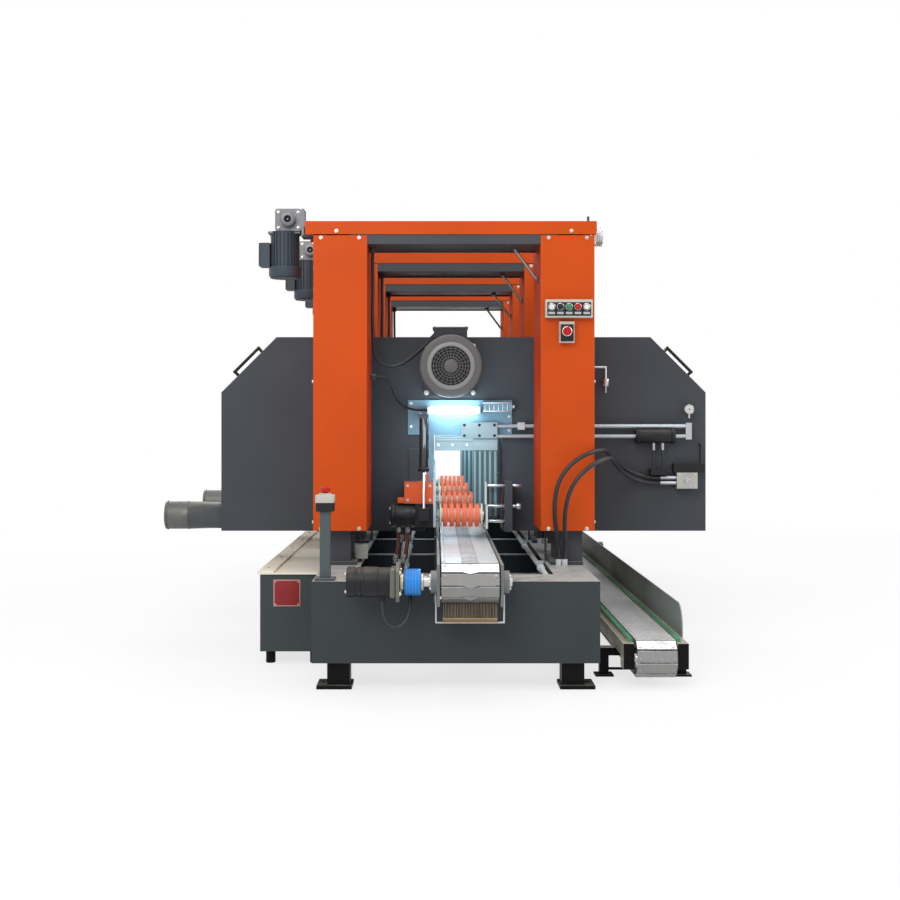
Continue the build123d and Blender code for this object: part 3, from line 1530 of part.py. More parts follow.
def tube(points, r):
    """A hose or cable through a list of points, with an arc at every corner."""
    spots = [Vector(*point) for point in points]
    radii = []
    for i in range(1, len(spots) - 1):
        before, after = spots[i] - spots[i - 1], spots[i + 1] - spots[i]
        half_turn = math.radians(before.get_angle(after)) / 2
        radii.append(0.45 * min(before.length, after.length) / math.tan(half_turn))
    route = FilletPolyline(*spots, radius=radii)
    hose = sweep(Plane(route @ 0, z_dir=route % 0) * Circle(r), path=route)
    share = hose.volume / (math.pi * r ** 2 * route.length)
    print(f"cord r {r}: length {route.length:.1f}, least radius {min(radii):.1f}, volume share {share:.4f}")
    return hose


def supply_routes(k):
    """The two supply hoses, from the valve nipples round the column to the base top."""
    f = face_y(k)
    upper = [
        (1028, f - 35, 838),
        (978, f - 35, 838),
        (900, f - 54, 858),
        (828, f - 118, 895),
        (770, f - 218, 935),
        (728, f - 332, 968),
        (694, f - 440, 985),
        (640, f - 520, 980),
        (570, f - 546, 952),
        (512, f - 546, 903),
        (474, f - 540, 838),
        (459, f - 530, 762),
        (459, f - 516, 688),
        (468, f - 494, 622),
        (479, f - 466, 570),
        (484, f - 454, 526),
        (484, f - 454, 480),
    ]
    lower = [
        (1028, f - 35, 812),
        (978, f - 35, 812),
        (905, f - 54, 828),
        (840, f - 120, 862),
        (788, f - 222, 902),
        (750, f - 338, 934),
        (726, f - 452, 950),
        (680, f - 542, 944),
        (614, f - 580, 914),
        (558, f - 584, 864),
        (522, f - 576, 800),
        (506, f - 562, 730),
        (503, f - 540, 664),
        (507, f - 508, 608),
        (511, f - 473, 564),
        (512, f - 454, 522),
        (512, f - 454, 480),
    ]
    return [upper, lower]


def guide_routes(k):
    """The two short hoses from the guide cylinder down to the divider block."""
    f = face_y(k)
    return [
        [
            (x, f - 46, 974),
            (x, f - 46, 950),
            (x + bow, f - 47, 927),
            (x, f - 46, 904),
            (x, f - 46, 880),
        ]
        for x, bow in ((993, -4), (1037, 4))
    ]


def press_routes(k):
    """The two hoses from the roller motor down to the tees in the base."""
    y = face_y(k) - roller_stand
    left = [
        (-264.5, y, 577),
        (-264.5, y, 540),
        (-268, y - 7, 495),
        (-277, y - 11, 450),
        (-286, y - 7, 408),
        (-290, y, 370),
        (-290, y, 334),
    ]
    right = [
        (-220.5, y, 577),
        (-220.5, y, 540),
        (-225, y - 7, 495),
        (-236, y - 11, 450),
        (-246, y - 7, 408),
        (-250, y, 370),
        (-250, y, 334),
    ]
    return [left, right]


def feed_route():
    """The hose that hangs in a loop from the feed motor to the base front."""
    b = base_front
    return [
        (-300, b - 130, 386),
        (-300, b - 130, 350),
        (-290, b - 131, 312),
        (-264, b - 130, 284),
        (-227, b - 126, 284),
        (-200, b - 117, 311),
        (-190, b - 107, 348),
        (-188, b - 97, 383),
        (-188, b - 80, 415),
        (-188, b - 52, 430),
        (-188, b - 24, 430),
    ]


def motor_route(k):
    """The motor cable, from the crossbeam down the column and up to the terminal box."""
    f = face_y(k)
    return [
        (-380, f - 343, 1909),
        (-380, f - 343, 1830),
        (-378, f - 342, 1735),
        (-382, f - 338, 1622),
        (-379, f - 326, 1515),
        (-377, f - 308, 1436),
        (-348, f - 287, 1393),
        (-301, f - 262, 1373),
        (-251, f - 232, 1383),
        (-205, f - 202, 1418),
        (-159, f - 185, 1460.5),
        (-111.3, f - 185, 1508.2),
    ]


def lamp_route(k):
    """The lamp cable, from the column cover across to the end of the lamp tube."""
    f = face_y(k)
    return [
        (-375, f - 200, 1330),
        (-343, f - 200, 1330),
        (-312, f - 192, 1312),
        (-292, f - 176, 1279),
        (-280, f - 154, 1243),
        (-262, f - 126, 1210),
        (-233, f - 94, 1186),
        (-197, f - 69, 1174),
        (-159, f - 62, 1172),
        (-124, f - 62, 1172),
    ]


def hoses_and_cables():
    """Every loose hose and cable of the machine."""
    cords = [tube(feed_route(), feed_hose_r)]
    for k in heads:
        cords += [tube(points, supply_hose_r) for points in supply_routes(k)]
        cords += [tube(points, guide_hose_r) for points in guide_routes(k)]
        cords += [tube(points, press_hose_r) for points in press_routes(k)]
        cords.append(tube(motor_route(k), motor_cable_r))
        cords.append(tube(lamp_route(k), lamp_cable_r))
    return cords


os.makedirs("parts", exist_ok=True)
save("base_frame", base_frame())
save("portal_frames", portal_frames())
save("portal_covers", portal_covers())
save("lift_gearmotors", lift_gearmotors())
for k in heads:
    name = f"head_{k + 1}"
    save(f"{name}_housing", housing(k))
    save(f"{name}_motor", saw_motor(k))
    save(f"{name}_drive_wheel", drive_wheel(k))
    save(f"{name}_idler_wheel", idler_wheel(k))
    save(f"{name}_blade", blade(k))
    save(f"{name}_guide_arm", guide_arm(k))
    save(f"{name}_press_arm", press_arm(k))
    save(f"{name}_press_roller", press_roller(k))
    save(f"{name}_fittings", head_fittings(k))
save("conveyor_bed", conveyor_bed())
save("conveyor_chain", slats(line_x, slat_width, drum_front, drum_back, drum_z,
                             drum_outer_r - slat_thick / 2))
save("conveyor_drive_drum", conveyor_drive_drum())
save("conveyor_tail_drum", conveyor_tail_drum())
save("feed_motor", feed_motor())
save("chain_brush", chain_brush())
save("return_bed", return_bed())
save("return_chain", slats(return_x, return_slat_width, return_front, return_back, return_z,
                           return_drum_r - slat_thick / 2))
save("return_drive_drum", return_drum(return_back,
                                      return_x + return_outer + return_box_height / 2 - skin_gap))
save("return_tail_drum", return_drum(return_front, return_x + return_outer))
save("side_trunk", side_trunk())
save("estop_station", estop_station())
save("estop_button", estop_button())
save("control_panel", control_panel())
for i in range(3):
    save(f"push_button_{i + 1}", push_button(i - 1))
save("mode_selector", mode_selector())
save("hydraulic_pipes", hydraulic_pipes())
save("hoses_and_cables", hoses_and_cables())
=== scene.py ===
import math
import bmesh
import bpy
from mathutils import Matrix, Vector


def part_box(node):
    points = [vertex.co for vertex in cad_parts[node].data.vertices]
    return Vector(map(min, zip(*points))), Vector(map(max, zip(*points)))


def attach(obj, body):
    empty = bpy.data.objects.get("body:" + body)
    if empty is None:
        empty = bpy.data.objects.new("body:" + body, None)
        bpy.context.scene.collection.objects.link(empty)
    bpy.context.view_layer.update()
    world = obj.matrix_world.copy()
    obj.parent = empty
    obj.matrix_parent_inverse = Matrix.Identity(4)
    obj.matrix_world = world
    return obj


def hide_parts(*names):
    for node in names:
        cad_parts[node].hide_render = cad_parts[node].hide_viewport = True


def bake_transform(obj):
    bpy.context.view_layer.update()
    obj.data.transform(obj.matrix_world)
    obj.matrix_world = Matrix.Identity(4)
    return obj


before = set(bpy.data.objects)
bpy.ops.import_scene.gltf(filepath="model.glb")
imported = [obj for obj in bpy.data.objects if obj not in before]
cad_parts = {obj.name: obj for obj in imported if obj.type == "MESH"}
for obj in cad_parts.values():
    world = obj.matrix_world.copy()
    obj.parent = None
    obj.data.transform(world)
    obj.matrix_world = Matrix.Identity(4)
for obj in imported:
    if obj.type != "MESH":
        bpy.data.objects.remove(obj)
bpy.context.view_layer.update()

# Studio: a pale floor under the machine, soft boxes above and a camera in front.
# The camera stands level before the infeed end; a small blue light before each head is its lamp's spill.
scene = bpy.context.scene
scene.view_settings.view_transform = "Standard"
floor_mesh = bpy.data.meshes.new("studio_floor")
bm = bmesh.new()
bmesh.ops.create_grid(bm, x_segments=1, y_segments=1, size=60)
bm.to_mesh(floor_mesh)
bm.free()
studio_floor = bpy.data.objects.new("studio_floor", floor_mesh)
scene.collection.objects.link(studio_floor)


def seen_share(nodes, links):
    """One for rays from the camera, off gloss or through glass, and nought for rays of light."""
    rays = nodes.new("ShaderNodeLightPath")
    share = rays.outputs["Is Camera Ray"]
    for kind in ("Is Glossy Ray", "Is Transmission Ray"):
        larger = nodes.new("ShaderNodeMath")
        larger.operation = "MAXIMUM"
        links.new(share, larger.inputs[0])
        links.new(rays.outputs[kind], larger.inputs[1])
        share = larger.outputs[0]
    return share


floor_paint = bpy.data.materials.new("studio_floor_paint")
floor_paint.use_nodes = True
floor_nodes = floor_paint.node_tree.nodes
floor_links = floor_paint.node_tree.links
floor_nodes.clear()
floor_matt = floor_nodes.new("ShaderNodeBsdfDiffuse")
floor_matt.inputs["Color"].default_value = (0.86, 0.86, 0.86, 1)
floor_glow = floor_nodes.new("ShaderNodeEmission")
floor_place = floor_nodes.new("ShaderNodeTexCoord")
floor_far = floor_nodes.new("ShaderNodeVectorMath")
floor_far.operation = "LENGTH"
floor_fade = floor_nodes.new("ShaderNodeMapRange")
floor_fade.inputs["From Min"].default_value = 3.0
floor_fade.inputs["From Max"].default_value = 7.0
floor_fade.inputs["To Min"].default_value = 0.74
floor_fade.inputs["To Max"].default_value = 1.0
floor_share = floor_nodes.new("ShaderNodeMath")
floor_share.operation = "MULTIPLY"
floor_mix = floor_nodes.new("ShaderNodeMixShader")
floor_out = floor_nodes.new("ShaderNodeOutputMaterial")
floor_links.new(floor_place.outputs["Object"], floor_far.inputs[0])
floor_links.new(floor_far.outputs["Value"], floor_fade.inputs["Value"])
floor_links.new(floor_fade.outputs["Result"], floor_share.inputs[1])
floor_links.new(seen_share(floor_nodes, floor_links), floor_share.inputs[0])
floor_links.new(floor_share.outputs[0], floor_mix.inputs[0])
floor_links.new(floor_matt.outputs[0], floor_mix.inputs[1])
floor_links.new(floor_glow.outputs[0], floor_mix.inputs[2])
floor_links.new(floor_mix.outputs[0], floor_out.inputs[0])
floor_mesh.materials.append(floor_paint)

world = bpy.data.worlds.new("studio")
scene.world = world
world.use_nodes = True
sky_nodes = world.node_tree.nodes
sky_links = world.node_tree.links
sky_nodes.clear()
sky_light = sky_nodes.new("ShaderNodeBackground")
sky_light.inputs["Color"].default_value = (0.95, 0.97, 1.0, 1)
sky_light.inputs["Strength"].default_value = 0.55
sky_white = sky_nodes.new("ShaderNodeBackground")
sky_white.inputs["Color"].default_value = (1, 1, 1, 1)
sky_white.inputs["Strength"].default_value = 1.0
sky_mix = sky_nodes.new("ShaderNodeMixShader")
sky_out = sky_nodes.new("ShaderNodeOutputWorld")
sky_links.new(seen_share(sky_nodes, sky_links), sky_mix.inputs[0])
sky_links.new(sky_light.outputs[0], sky_mix.inputs[1])
sky_links.new(sky_white.outputs[0], sky_mix.inputs[2])
sky_links.new(sky_mix.outputs[0], sky_out.inputs[0])


def soft_box(name, place, target, size, watts, tint=(1, 1, 1)):
    """A soft lamp that the camera doesn't see, turned to its target; places in metres."""
    lamp = bpy.data.lights.new(name, "AREA")
    lamp.shape = "RECTANGLE"
    lamp.size, lamp.size_y = size
    lamp.energy = watts
    lamp.color = tint
    box = bpy.data.objects.new(name, lamp)
    scene.collection.objects.link(box)
    box.location = place
    box.rotation_euler = (Vector(target) - Vector(place)).to_track_quat("-Z", "Y").to_euler()
    box.visible_camera = False


soft_box("front_softbox", place=(-2.5, -7.5, 5.0), target=(0, -1.5, 0.9), size=(5, 4), watts=250)
soft_box("right_softbox", place=(6.5, -3.0, 4.5), target=(0.4, 0, 0.9), size=(5, 4), watts=170)
soft_box("rear_softbox", place=(-4.5, 6.5, 5.0), target=(0, 1.0, 0.9), size=(5, 4), watts=210)
soft_box("roof_softbox", place=(0, 0, 7.0), target=(0, 0, 0.5), size=(4, 7), watts=210)
lamp_blue = (0.62, 0.86, 1.0)
for head, watts in (("head_1", 2.0), ("head_2", 4.0), ("head_3", 4.0), ("head_4", 4.0)):
    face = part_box(head + "_housing")[0].y
    soft_box(head + "_lamp_spill", place=(0, face - 0.48, 1.08), target=(0.04, face, 0.98), size=(0.4, 0.2),
             watts=watts, tint=lamp_blue)

camera_data = bpy.data.cameras.new("photo_camera")
camera_data.sensor_width = 36.0
camera_data.lens = 50.2
camera_data.shift_x = 0.0167
camera_data.shift_y = -0.0311
camera_data.clip_end = 200
camera = bpy.data.objects.new("photo_camera", camera_data)
scene.collection.objects.link(camera)
camera.location = (-0.087, -7.565, 1.113)
camera.rotation_euler = (math.pi / 2, 0, 0)
scene.camera = camera

# Hoses and cables: reinforced rubber hose and sheathed cable, cut to length and pushed on fittings.
# Each is a smooth tube; those from the frame to a lifting head are baked in place and ride on no body.
heads = ["head_1", "head_2", "head_3", "head_4"]


def node_tree(name):
    """A new material with its nodes, links and shader."""
    finish = bpy.data.materials.new(name)
    finish.use_nodes = True
    tree = finish.node_tree
    return finish, tree.nodes, tree.links, tree.nodes["Principled BSDF"]


def noise(nodes, links, scale, detail=3.0, rough=0.55, stretch=(1, 1, 1)):
    """Noise on the piece's own coordinates, stretched along an axis where asked."""
    place = nodes.new("ShaderNodeTexCoord")
    turn = nodes.new("ShaderNodeMapping")
    turn.inputs["Scale"].default_value = stretch
    grain = nodes.new("ShaderNodeTexNoise")
    grain.inputs["Scale"].default_value = scale
    grain.inputs["Detail"].default_value = detail
    grain.inputs["Roughness"].default_value = rough
    links.new(place.outputs["Object"], turn.inputs["Vector"])
    links.new(turn.outputs["Vector"], grain.inputs["Vector"])
    return grain.outputs["Fac"]


def ramp(nodes, links, source, stops):
    """A colour ramp on a value, from (place, colour) stops."""
    band = nodes.new("ShaderNodeValToRGB")
    band.color_ramp.elements[0].position, band.color_ramp.elements[0].color = stops[0]
    band.color_ramp.elements[1].position, band.color_ramp.elements[1].color = stops[-1]
    for place, colour in stops[1:-1]:
        band.color_ramp.elements.new(place).color = colour
    links.new(source, band.inputs["Fac"])
    return band.outputs["Color"]


def shade(colour, factor):
    """A colour made lighter or darker, with its alpha."""
    return tuple(min(1.0, c * factor) for c in colour) + (1.0,)


def bump(nodes, links, shader, height, strength, distance):
    """A fine relief on a shader, from a height; its distance is in metres."""
    relief = nodes.new("ShaderNodeBump")
    relief.inputs["Strength"].default_value = strength
    relief.inputs["Distance"].default_value = distance
    links.new(height, relief.inputs["Height"])
    links.new(relief.outputs["Normal"], shader.inputs["Normal"])


def rubber(name, colour, rough):
    """Moulded rubber: slightly uneven colour with a fine grain."""
    finish, nodes, links, shader = node_tree(name)
    cloud = noise(nodes, links, scale=9.0, detail=4.0)
    dark, pale = shade(colour, 0.75), shade(colour, 1.35)
    links.new(ramp(nodes, links, cloud, [(0.3, dark), (0.7, pale)]), shader.inputs["Base Color"])
    shader.inputs["Roughness"].default_value = rough
    bump(nodes, links, shader, noise(nodes, links, scale=420.0, detail=2.0), strength=0.25, distance=0.0006)
    return finish


hose_black = rubber("hose_black", (0.016, 0.016, 0.018), rough=0.42)
hose_brown = rubber("hose_brown", (0.090, 0.022, 0.014), rough=0.46)
cable_black = rubber("cable_black", (0.013, 0.013, 0.015), rough=0.50)


def tube(name, route, radius, finish):
    """A mesh tube along one smooth spline through the route's points, which are in millimetres."""
    line = bpy.data.curves.new(name, "CURVE")
    line.dimensions = "3D"
    line.resolution_u = 8
    spline = line.splines.new("NURBS")
    spline.points.add(len(route) - 1)
    for point, (x, y, z) in zip(spline.points, route):
        point.co = (x / 1000, y / 1000, z / 1000, 1)
    spline.order_u = 3
    spline.use_endpoint_u = True
    holder = bpy.data.objects.new(name + "_line", line)
    scene.collection.objects.link(holder)
    bpy.context.view_layer.update()
    bare = bpy.data.meshes.new_from_object(holder)
    path = [tuple(v.co) for v in bare.vertices]
    line.bevel_depth = radius / 1000
    line.bevel_resolution = 5
    line.use_fill_caps = True
    bpy.context.view_layer.update()
    skin = bpy.data.meshes.new_from_object(holder.evaluated_get(bpy.context.evaluated_depsgraph_get()))
    bpy.data.objects.remove(holder)
    bpy.data.meshes.remove(bare)
    skin.materials.clear()
    skin.materials.append(finish)
    for face in skin.polygons:
        face.use_smooth = True
    piece = bpy.data.objects.new(name, skin)
    scene.collection.objects.link(piece)
    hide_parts("hoses_and_cables")
    return piece, path


plated, plated_nodes, plated_links, plated_shader = node_tree("plated_steel")
plated_shader.inputs["Metallic"].default_value = 1.0
plated_cloud = noise(plated_nodes, plated_links, scale=30.0)
plated_tone = ramp(plated_nodes, plated_links, plated_cloud,
                   [(0.3, (0.50, 0.51, 0.53, 1)), (0.7, (0.68, 0.69, 0.70, 1))])
plated_links.new(plated_tone, plated_shader.inputs["Base Color"])
plated_marks = noise(plated_nodes, plated_links, scale=120.0)
plated_rough = ramp(plated_nodes, plated_links, plated_marks,
                    [(0.3, (0.2, 0.2, 0.2, 1)), (0.7, (0.36, 0.36, 0.36, 1))])
plated_links.new(plated_rough, plated_shader.inputs["Roughness"])


def make(bm, name, finish, body):
    """Turn a bmesh into a piece that rides on a body."""
    merge_within, sharp_over = 1e-6, math.radians(35)
    bmesh.ops.remove_doubles(bm, verts=bm.verts, dist=merge_within)
    bmesh.ops.recalc_face_normals(bm, faces=bm.faces)
    mesh = bpy.data.meshes.new(name)
    bm.to_mesh(mesh)
    bm.free()
    mesh.materials.append(finish)
    mesh.shade_smooth()
    mesh.set_sharp_from_angle(angle=sharp_over)
    piece = bpy.data.objects.new(name, mesh)
    scene.collection.objects.link(piece)
    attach(piece, body)
    return piece


def turned(name, profile, start, along, finish, body, segments=24):
    """A turned piece: a profile of (distance along, radius) in millimetres, spun about a line."""
    bm = bmesh.new()
    spots = [bm.verts.new((radius / 1000, 0, step / 1000)) for step, radius in profile]
    edges = [bm.edges.new(pair) for pair in zip(spots, spots[1:])]
    bmesh.ops.spin(bm, geom=spots + edges, cent=(0, 0, 0), axis=(0, 0, 1), angle=2 * math.pi, steps=segments,
                   use_merge=True)
    turn = Vector(along).to_track_quat("Z", "Y").to_matrix().to_4x4()
    bmesh.ops.transform(bm, matrix=Matrix.Translation(Vector(start) / 1000) @ turn, verts=bm.verts)
    return make(bm, name, finish, body)


supply_radius, guide_radius, press_radius = 10.0, 5.5, 9.0
motor_radius, lamp_radius, feed_radius = 8.0, 6.0, 7.0
union_profile = [(-22, 0), (-22, 10), (-9, 10), (-9, 12.5), (9, 12.5), (9, 10), (22, 10), (22, 0)]
for head in heads:
    # Routes are in millimetres; f is the Y of the housing's front face.
    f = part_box(head + "_housing")[0].y * 1000
    upper_route = [(1028, f - 35, 838), (978, f - 35, 838), (900, f - 54, 858), (828, f - 118, 895),
                   (770, f - 218, 935), (728, f - 332, 968), (694, f - 440, 985), (640, f - 520, 980),
                   (570, f - 546, 952), (512, f - 546, 903), (474, f - 540, 838), (459, f - 530, 762),
                   (459, f - 516, 688), (468, f - 494, 622), (479, f - 466, 570), (484, f - 454, 526),
                   (484, f - 454, 480)]
    lower_route = [(1028, f - 35, 812), (978, f - 35, 812), (905, f - 54, 828), (840, f - 120, 862),
                   (788, f - 222, 902), (750, f - 338, 934), (726, f - 452, 950), (680, f - 542, 944),
                   (614, f - 580, 914), (558, f - 584, 864), (522, f - 576, 800), (506, f - 562, 730),
                   (503, f - 540, 664), (507, f - 508, 608), (511, f - 473, 564), (512, f - 454, 522),
                   (512, f - 454, 480)]
    for label, route in (("upper", upper_route), ("lower", lower_route)):
        hose, path = tube(f"{head}_supply_hose_{label}", route, supply_radius, hose_black)
        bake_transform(hose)
    for label, x, bow in (("left", 993, -4), ("right", 1037, 4)):
        route = [(x, f - 46, 974), (x, f - 46, 950), (x + bow, f - 47, 927), (x, f - 46, 904),
                 (x, f - 46, 880)]
        hose, path = tube(f"{head}_guide_hose_{label}", route, guide_radius, hose_black)
        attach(hose, head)
    y = f - 150  # the press roller's axis
    left_route = [(-264.5, y, 577), (-264.5, y, 540), (-268, y - 7, 495), (-277, y - 11, 450)]
    left_low = [(-277, y - 11, 450), (-286, y - 7, 408), (-290, y, 370), (-290, y, 334)]
    right_route = [(-220.5, y, 577), (-220.5, y, 540), (-225, y - 7, 495), (-236, y - 11, 450)]
    right_low = [(-236, y - 11, 450), (-246, y - 7, 408), (-250, y, 370), (-250, y, 334)]
    for label, high, low in (("left", left_route, left_low), ("right", right_route, right_low)):
        hang = Vector(low[1]) - Vector(high[-2])
        union = turned(f"{head}_press_union_{label}", union_profile, low[0], hang, plated, head)
        hose, path = tube(f"{head}_press_hose_{label}", high, press_radius, hose_brown)
        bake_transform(hose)
        hose, path = tube(f"{head}_press_tail_{label}", low, press_radius, hose_brown)
        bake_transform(hose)
    motor_route = [(-380, f - 343, 1909), (-380, f - 343, 1830), (-378, f - 342, 1735),
                   (-382, f - 338, 1622), (-379, f - 326, 1515), (-377, f - 308, 1436),
                   (-348, f - 287, 1393), (-301, f - 262, 1373), (-251, f - 232, 1383),
                   (-205, f - 202, 1418), (-159, f - 185, 1460.5), (-111.3, f - 185, 1508.2)]
    cable, path = tube(head + "_motor_cable", motor_route, motor_radius, cable_black)
    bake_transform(cable)
    lamp_route = [(-375, f - 200, 1330), (-343, f - 200, 1330), (-312, f - 192, 1312), (-292, f - 176, 1279),
                  (-280, f - 154, 1243), (-262, f - 126, 1210), (-233, f - 94, 1186), (-197, f - 69, 1174),
                  (-159, f - 62, 1172), (-124, f - 62, 1172)]
    cable, path = tube(head + "_lamp_cable", lamp_route, lamp_radius, cable_black)
    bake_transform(cable)

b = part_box("base_frame")[0].y * 1000
feed_route = [(-300, b - 130, 386), (-300, b - 130, 350), (-290, b - 131, 312), (-264, b - 130, 284),
              (-227, b - 126, 284), (-200, b - 117, 311), (-190, b - 107, 348), (-188, b - 97, 383),
              (-188, b - 80, 415), (-188, b - 52, 430), (-188, b - 24, 430)]
feed_hose, path = tube("feed_motor_hose", feed_route, feed_radius, hose_black)
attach(feed_hose, "frame")

# Base frame: folded and welded plate, painted dark grey-green, on black legs with foot plates.
# Sawdust lies on its top flanges; a bolted plate closes each hand hole in the rear end.


def paint(name, colour, rough=0.42, dust=0.0, dust_colour=(0.46, 0.42, 0.35), wear=0.5, rubbed=0.0, bare=0.0,
          spread=0.62, sheen=0.25):
    """Sprayed paint: faint clouds, rubbed edges, orange-peel grain, and dust on what faces up."""
    finish, nodes, links, shader = node_tree(name)
    cloud = noise(nodes, links, scale=2.3, detail=5.0, rough=0.6)
    swing = 0.16 * wear
    tone = ramp(nodes, links, cloud, [(0.32, shade(colour, 1 - swing)), (0.68, shade(colour, 1 + swing))])
    facing = nodes.new("ShaderNodeNewGeometry")
    if dust:
        split = nodes.new("ShaderNodeSeparateXYZ")
        links.new(facing.outputs["Normal"], split.inputs["Vector"])
        patch = noise(nodes, links, scale=14.0, detail=6.0, rough=0.7)
        up = nodes.new("ShaderNodeMath")
        up.operation = "MULTIPLY"
        links.new(split.outputs["Z"], up.inputs[0])
        links.new(patch, up.inputs[1])
        cover = nodes.new("ShaderNodeMapRange")
        cover.inputs["From Min"].default_value = 0.18
        cover.inputs["From Max"].default_value = spread
        cover.inputs["To Max"].default_value = dust
        links.new(up.outputs[0], cover.inputs["Value"])
        mix = nodes.new("ShaderNodeMix")
        mix.data_type = "RGBA"
        links.new(cover.outputs["Result"], mix.inputs["Factor"])
        links.new(tone, mix.inputs["A"])
        mix.inputs["B"].default_value = dust_colour + (1,)
        tone = mix.outputs["Result"]
    if rubbed:
        round_off = nodes.new("ShaderNodeBevel")
        round_off.samples = 4
        round_off.inputs["Radius"].default_value = 0.005
        turned_by = nodes.new("ShaderNodeVectorMath")
        turned_by.operation = "DOT_PRODUCT"
        links.new(round_off.outputs["Normal"], turned_by.inputs[0])
        links.new(facing.outputs["Normal"], turned_by.inputs[1])
        edge = ramp(nodes, links, turned_by.outputs["Value"], [(0.78, (1, 1, 1, 1)), (0.985, (0, 0, 0, 1))])
        share = nodes.new("ShaderNodeMath")
        share.operation = "MULTIPLY"
        links.new(edge, share.inputs[0])
        spots = noise(nodes, links, scale=22.0, detail=5.0, rough=0.7)
        worn = ramp(nodes, links, spots, [(0.42, (0, 0, 0, 1)), (0.62, (rubbed,) * 3 + (1,))])
        links.new(worn, share.inputs[1])
        rub = nodes.new("ShaderNodeMix")
        rub.data_type = "RGBA"
        links.new(share.outputs[0], rub.inputs["Factor"])
        links.new(tone, rub.inputs["A"])
        rub.inputs["B"].default_value = shade(colour, 2.4)
        tone = rub.outputs["Result"]
    links.new(tone, shader.inputs["Base Color"])
    shader.inputs["Specular IOR Level"].default_value = sheen
    shader.inputs["Metallic"].default_value = bare
    smooth, coarse = (rough - 0.06,) * 3 + (1,), (rough + 0.08,) * 3 + (1,)
    gloss = ramp(nodes, links, noise(nodes, links, scale=6.0, detail=4.0), [(0.3, smooth), (0.7, coarse)])
    links.new(gloss, shader.inputs["Roughness"])
    bump(nodes, links, shader, noise(nodes, links, scale=240.0, detail=2.0), strength=0.10, distance=0.0006)
    return finish


def metal(name, colour, rough=0.3, stretch=(1, 1, 1), streak=160.0, depth=0.15):
    """Bare or plated metal with drawn or ground marks along one direction."""
    finish, nodes, links, shader = node_tree(name)
    shader.inputs["Metallic"].default_value = 1.0
    cloud = noise(nodes, links, scale=5.0, detail=5.0, rough=0.6)
    dark, pale = shade(colour, 0.82), shade(colour, 1.1)
    links.new(ramp(nodes, links, cloud, [(0.3, dark), (0.7, pale)]), shader.inputs["Base Color"])
    marks = noise(nodes, links, streak, detail=3.0, rough=0.6, stretch=stretch)
    smooth, coarse = (max(0.05, rough - 0.1),) * 3 + (1,), (rough + 0.12,) * 3 + (1,)
    links.new(ramp(nodes, links, marks, [(0.3, smooth), (0.7, coarse)]), shader.inputs["Roughness"])
    bump(nodes, links, shader, marks, depth, distance=0.0004)
    return finish


def dress(node, *finishes, edge=0.0015, segments=2):
    """Put finishes on a CAD node, and ease its edges with a weld and a bevel of a width in metres."""
    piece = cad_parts[node]
    piece.data.materials.clear()
    for finish in finishes:
        piece.data.materials.append(finish)
    weld = piece.modifiers.new("weld", "WELD")
    weld.merge_threshold = 0.00002
    flat = piece.modifiers.new("flat_faces", "DECIMATE")
    flat.decimate_type = "DISSOLVE"
    flat.angle_limit = math.radians(0.4)
    flat.delimit = {"MATERIAL"}
    if edge:
        ease = piece.modifiers.new("eased_edges", "BEVEL")
        ease.width = edge
        ease.segments = segments
        ease.limit_method = "ANGLE"
        ease.angle_limit = math.radians(40)
        ease.use_clamp_overlap = True
        ease.harden_normals = True
    return piece


def zone(node, finish, low, high):
    """Give the faces of a node whose middles lie in a box, in millimetres, another of its finishes."""
    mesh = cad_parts[node].data
    index = mesh.materials.find(finish.name)
    for face in mesh.polygons:
        if all(a <= c * 1000 <= b for a, c, b in zip(low, face.center, high)):
            face.material_index = index


def bolts(name, places, along, across, finish, body):
    """Hexagon bolt heads on washers, in one mesh; places and the width over the flats in millimetres."""
    bm = bmesh.new()
    turn = Vector(along).to_track_quat("Z", "Y").to_matrix().to_4x4()
    root_three = 1.732
    corner, washer, crown, top = across / root_three, 0.12 * across, 0.55 * across, 0.66 * across
    for place in places:
        stand = Matrix.Translation(Vector(place) / 1000) @ turn
        for sides, wide, narrow, low, high in ((14, 1.3 * corner, 1.25 * corner, 0, washer),
                                               (6, corner, corner, washer, crown),
                                               (6, corner, 0.8 * corner, crown, top)):
            bmesh.ops.create_cone(bm, cap_ends=True, segments=sides, radius1=wide / 1000,
                                  radius2=narrow / 1000, depth=(high - low) / 1000,
                                  matrix=stand @ Matrix.Translation((0, 0, (low + high) / 2000)))
    return make(bm, name, finish, body)


def slabs(name, boxes, finish, body, edge=1.0):
    """Blocks with eased edges in one mesh, each between two corners in millimetres."""
    bm = bmesh.new()
    for low, high in boxes:
        middle = (Vector(low) + Vector(high)) / 2000
        size = (Vector(high) - Vector(low)) / 1000
        stand = Matrix.Translation(middle) @ Matrix.Diagonal((*size, 1))
        fresh = bmesh.ops.create_cube(bm, size=1, matrix=stand)
        edges = list({e for v in fresh["verts"] for e in v.link_edges})
        bmesh.ops.bevel(bm, geom=edges, offset=edge / 1000, segments=2, profile=0.5, affect="EDGES",
                        material=-1)
    return make(bm, name, finish, body)


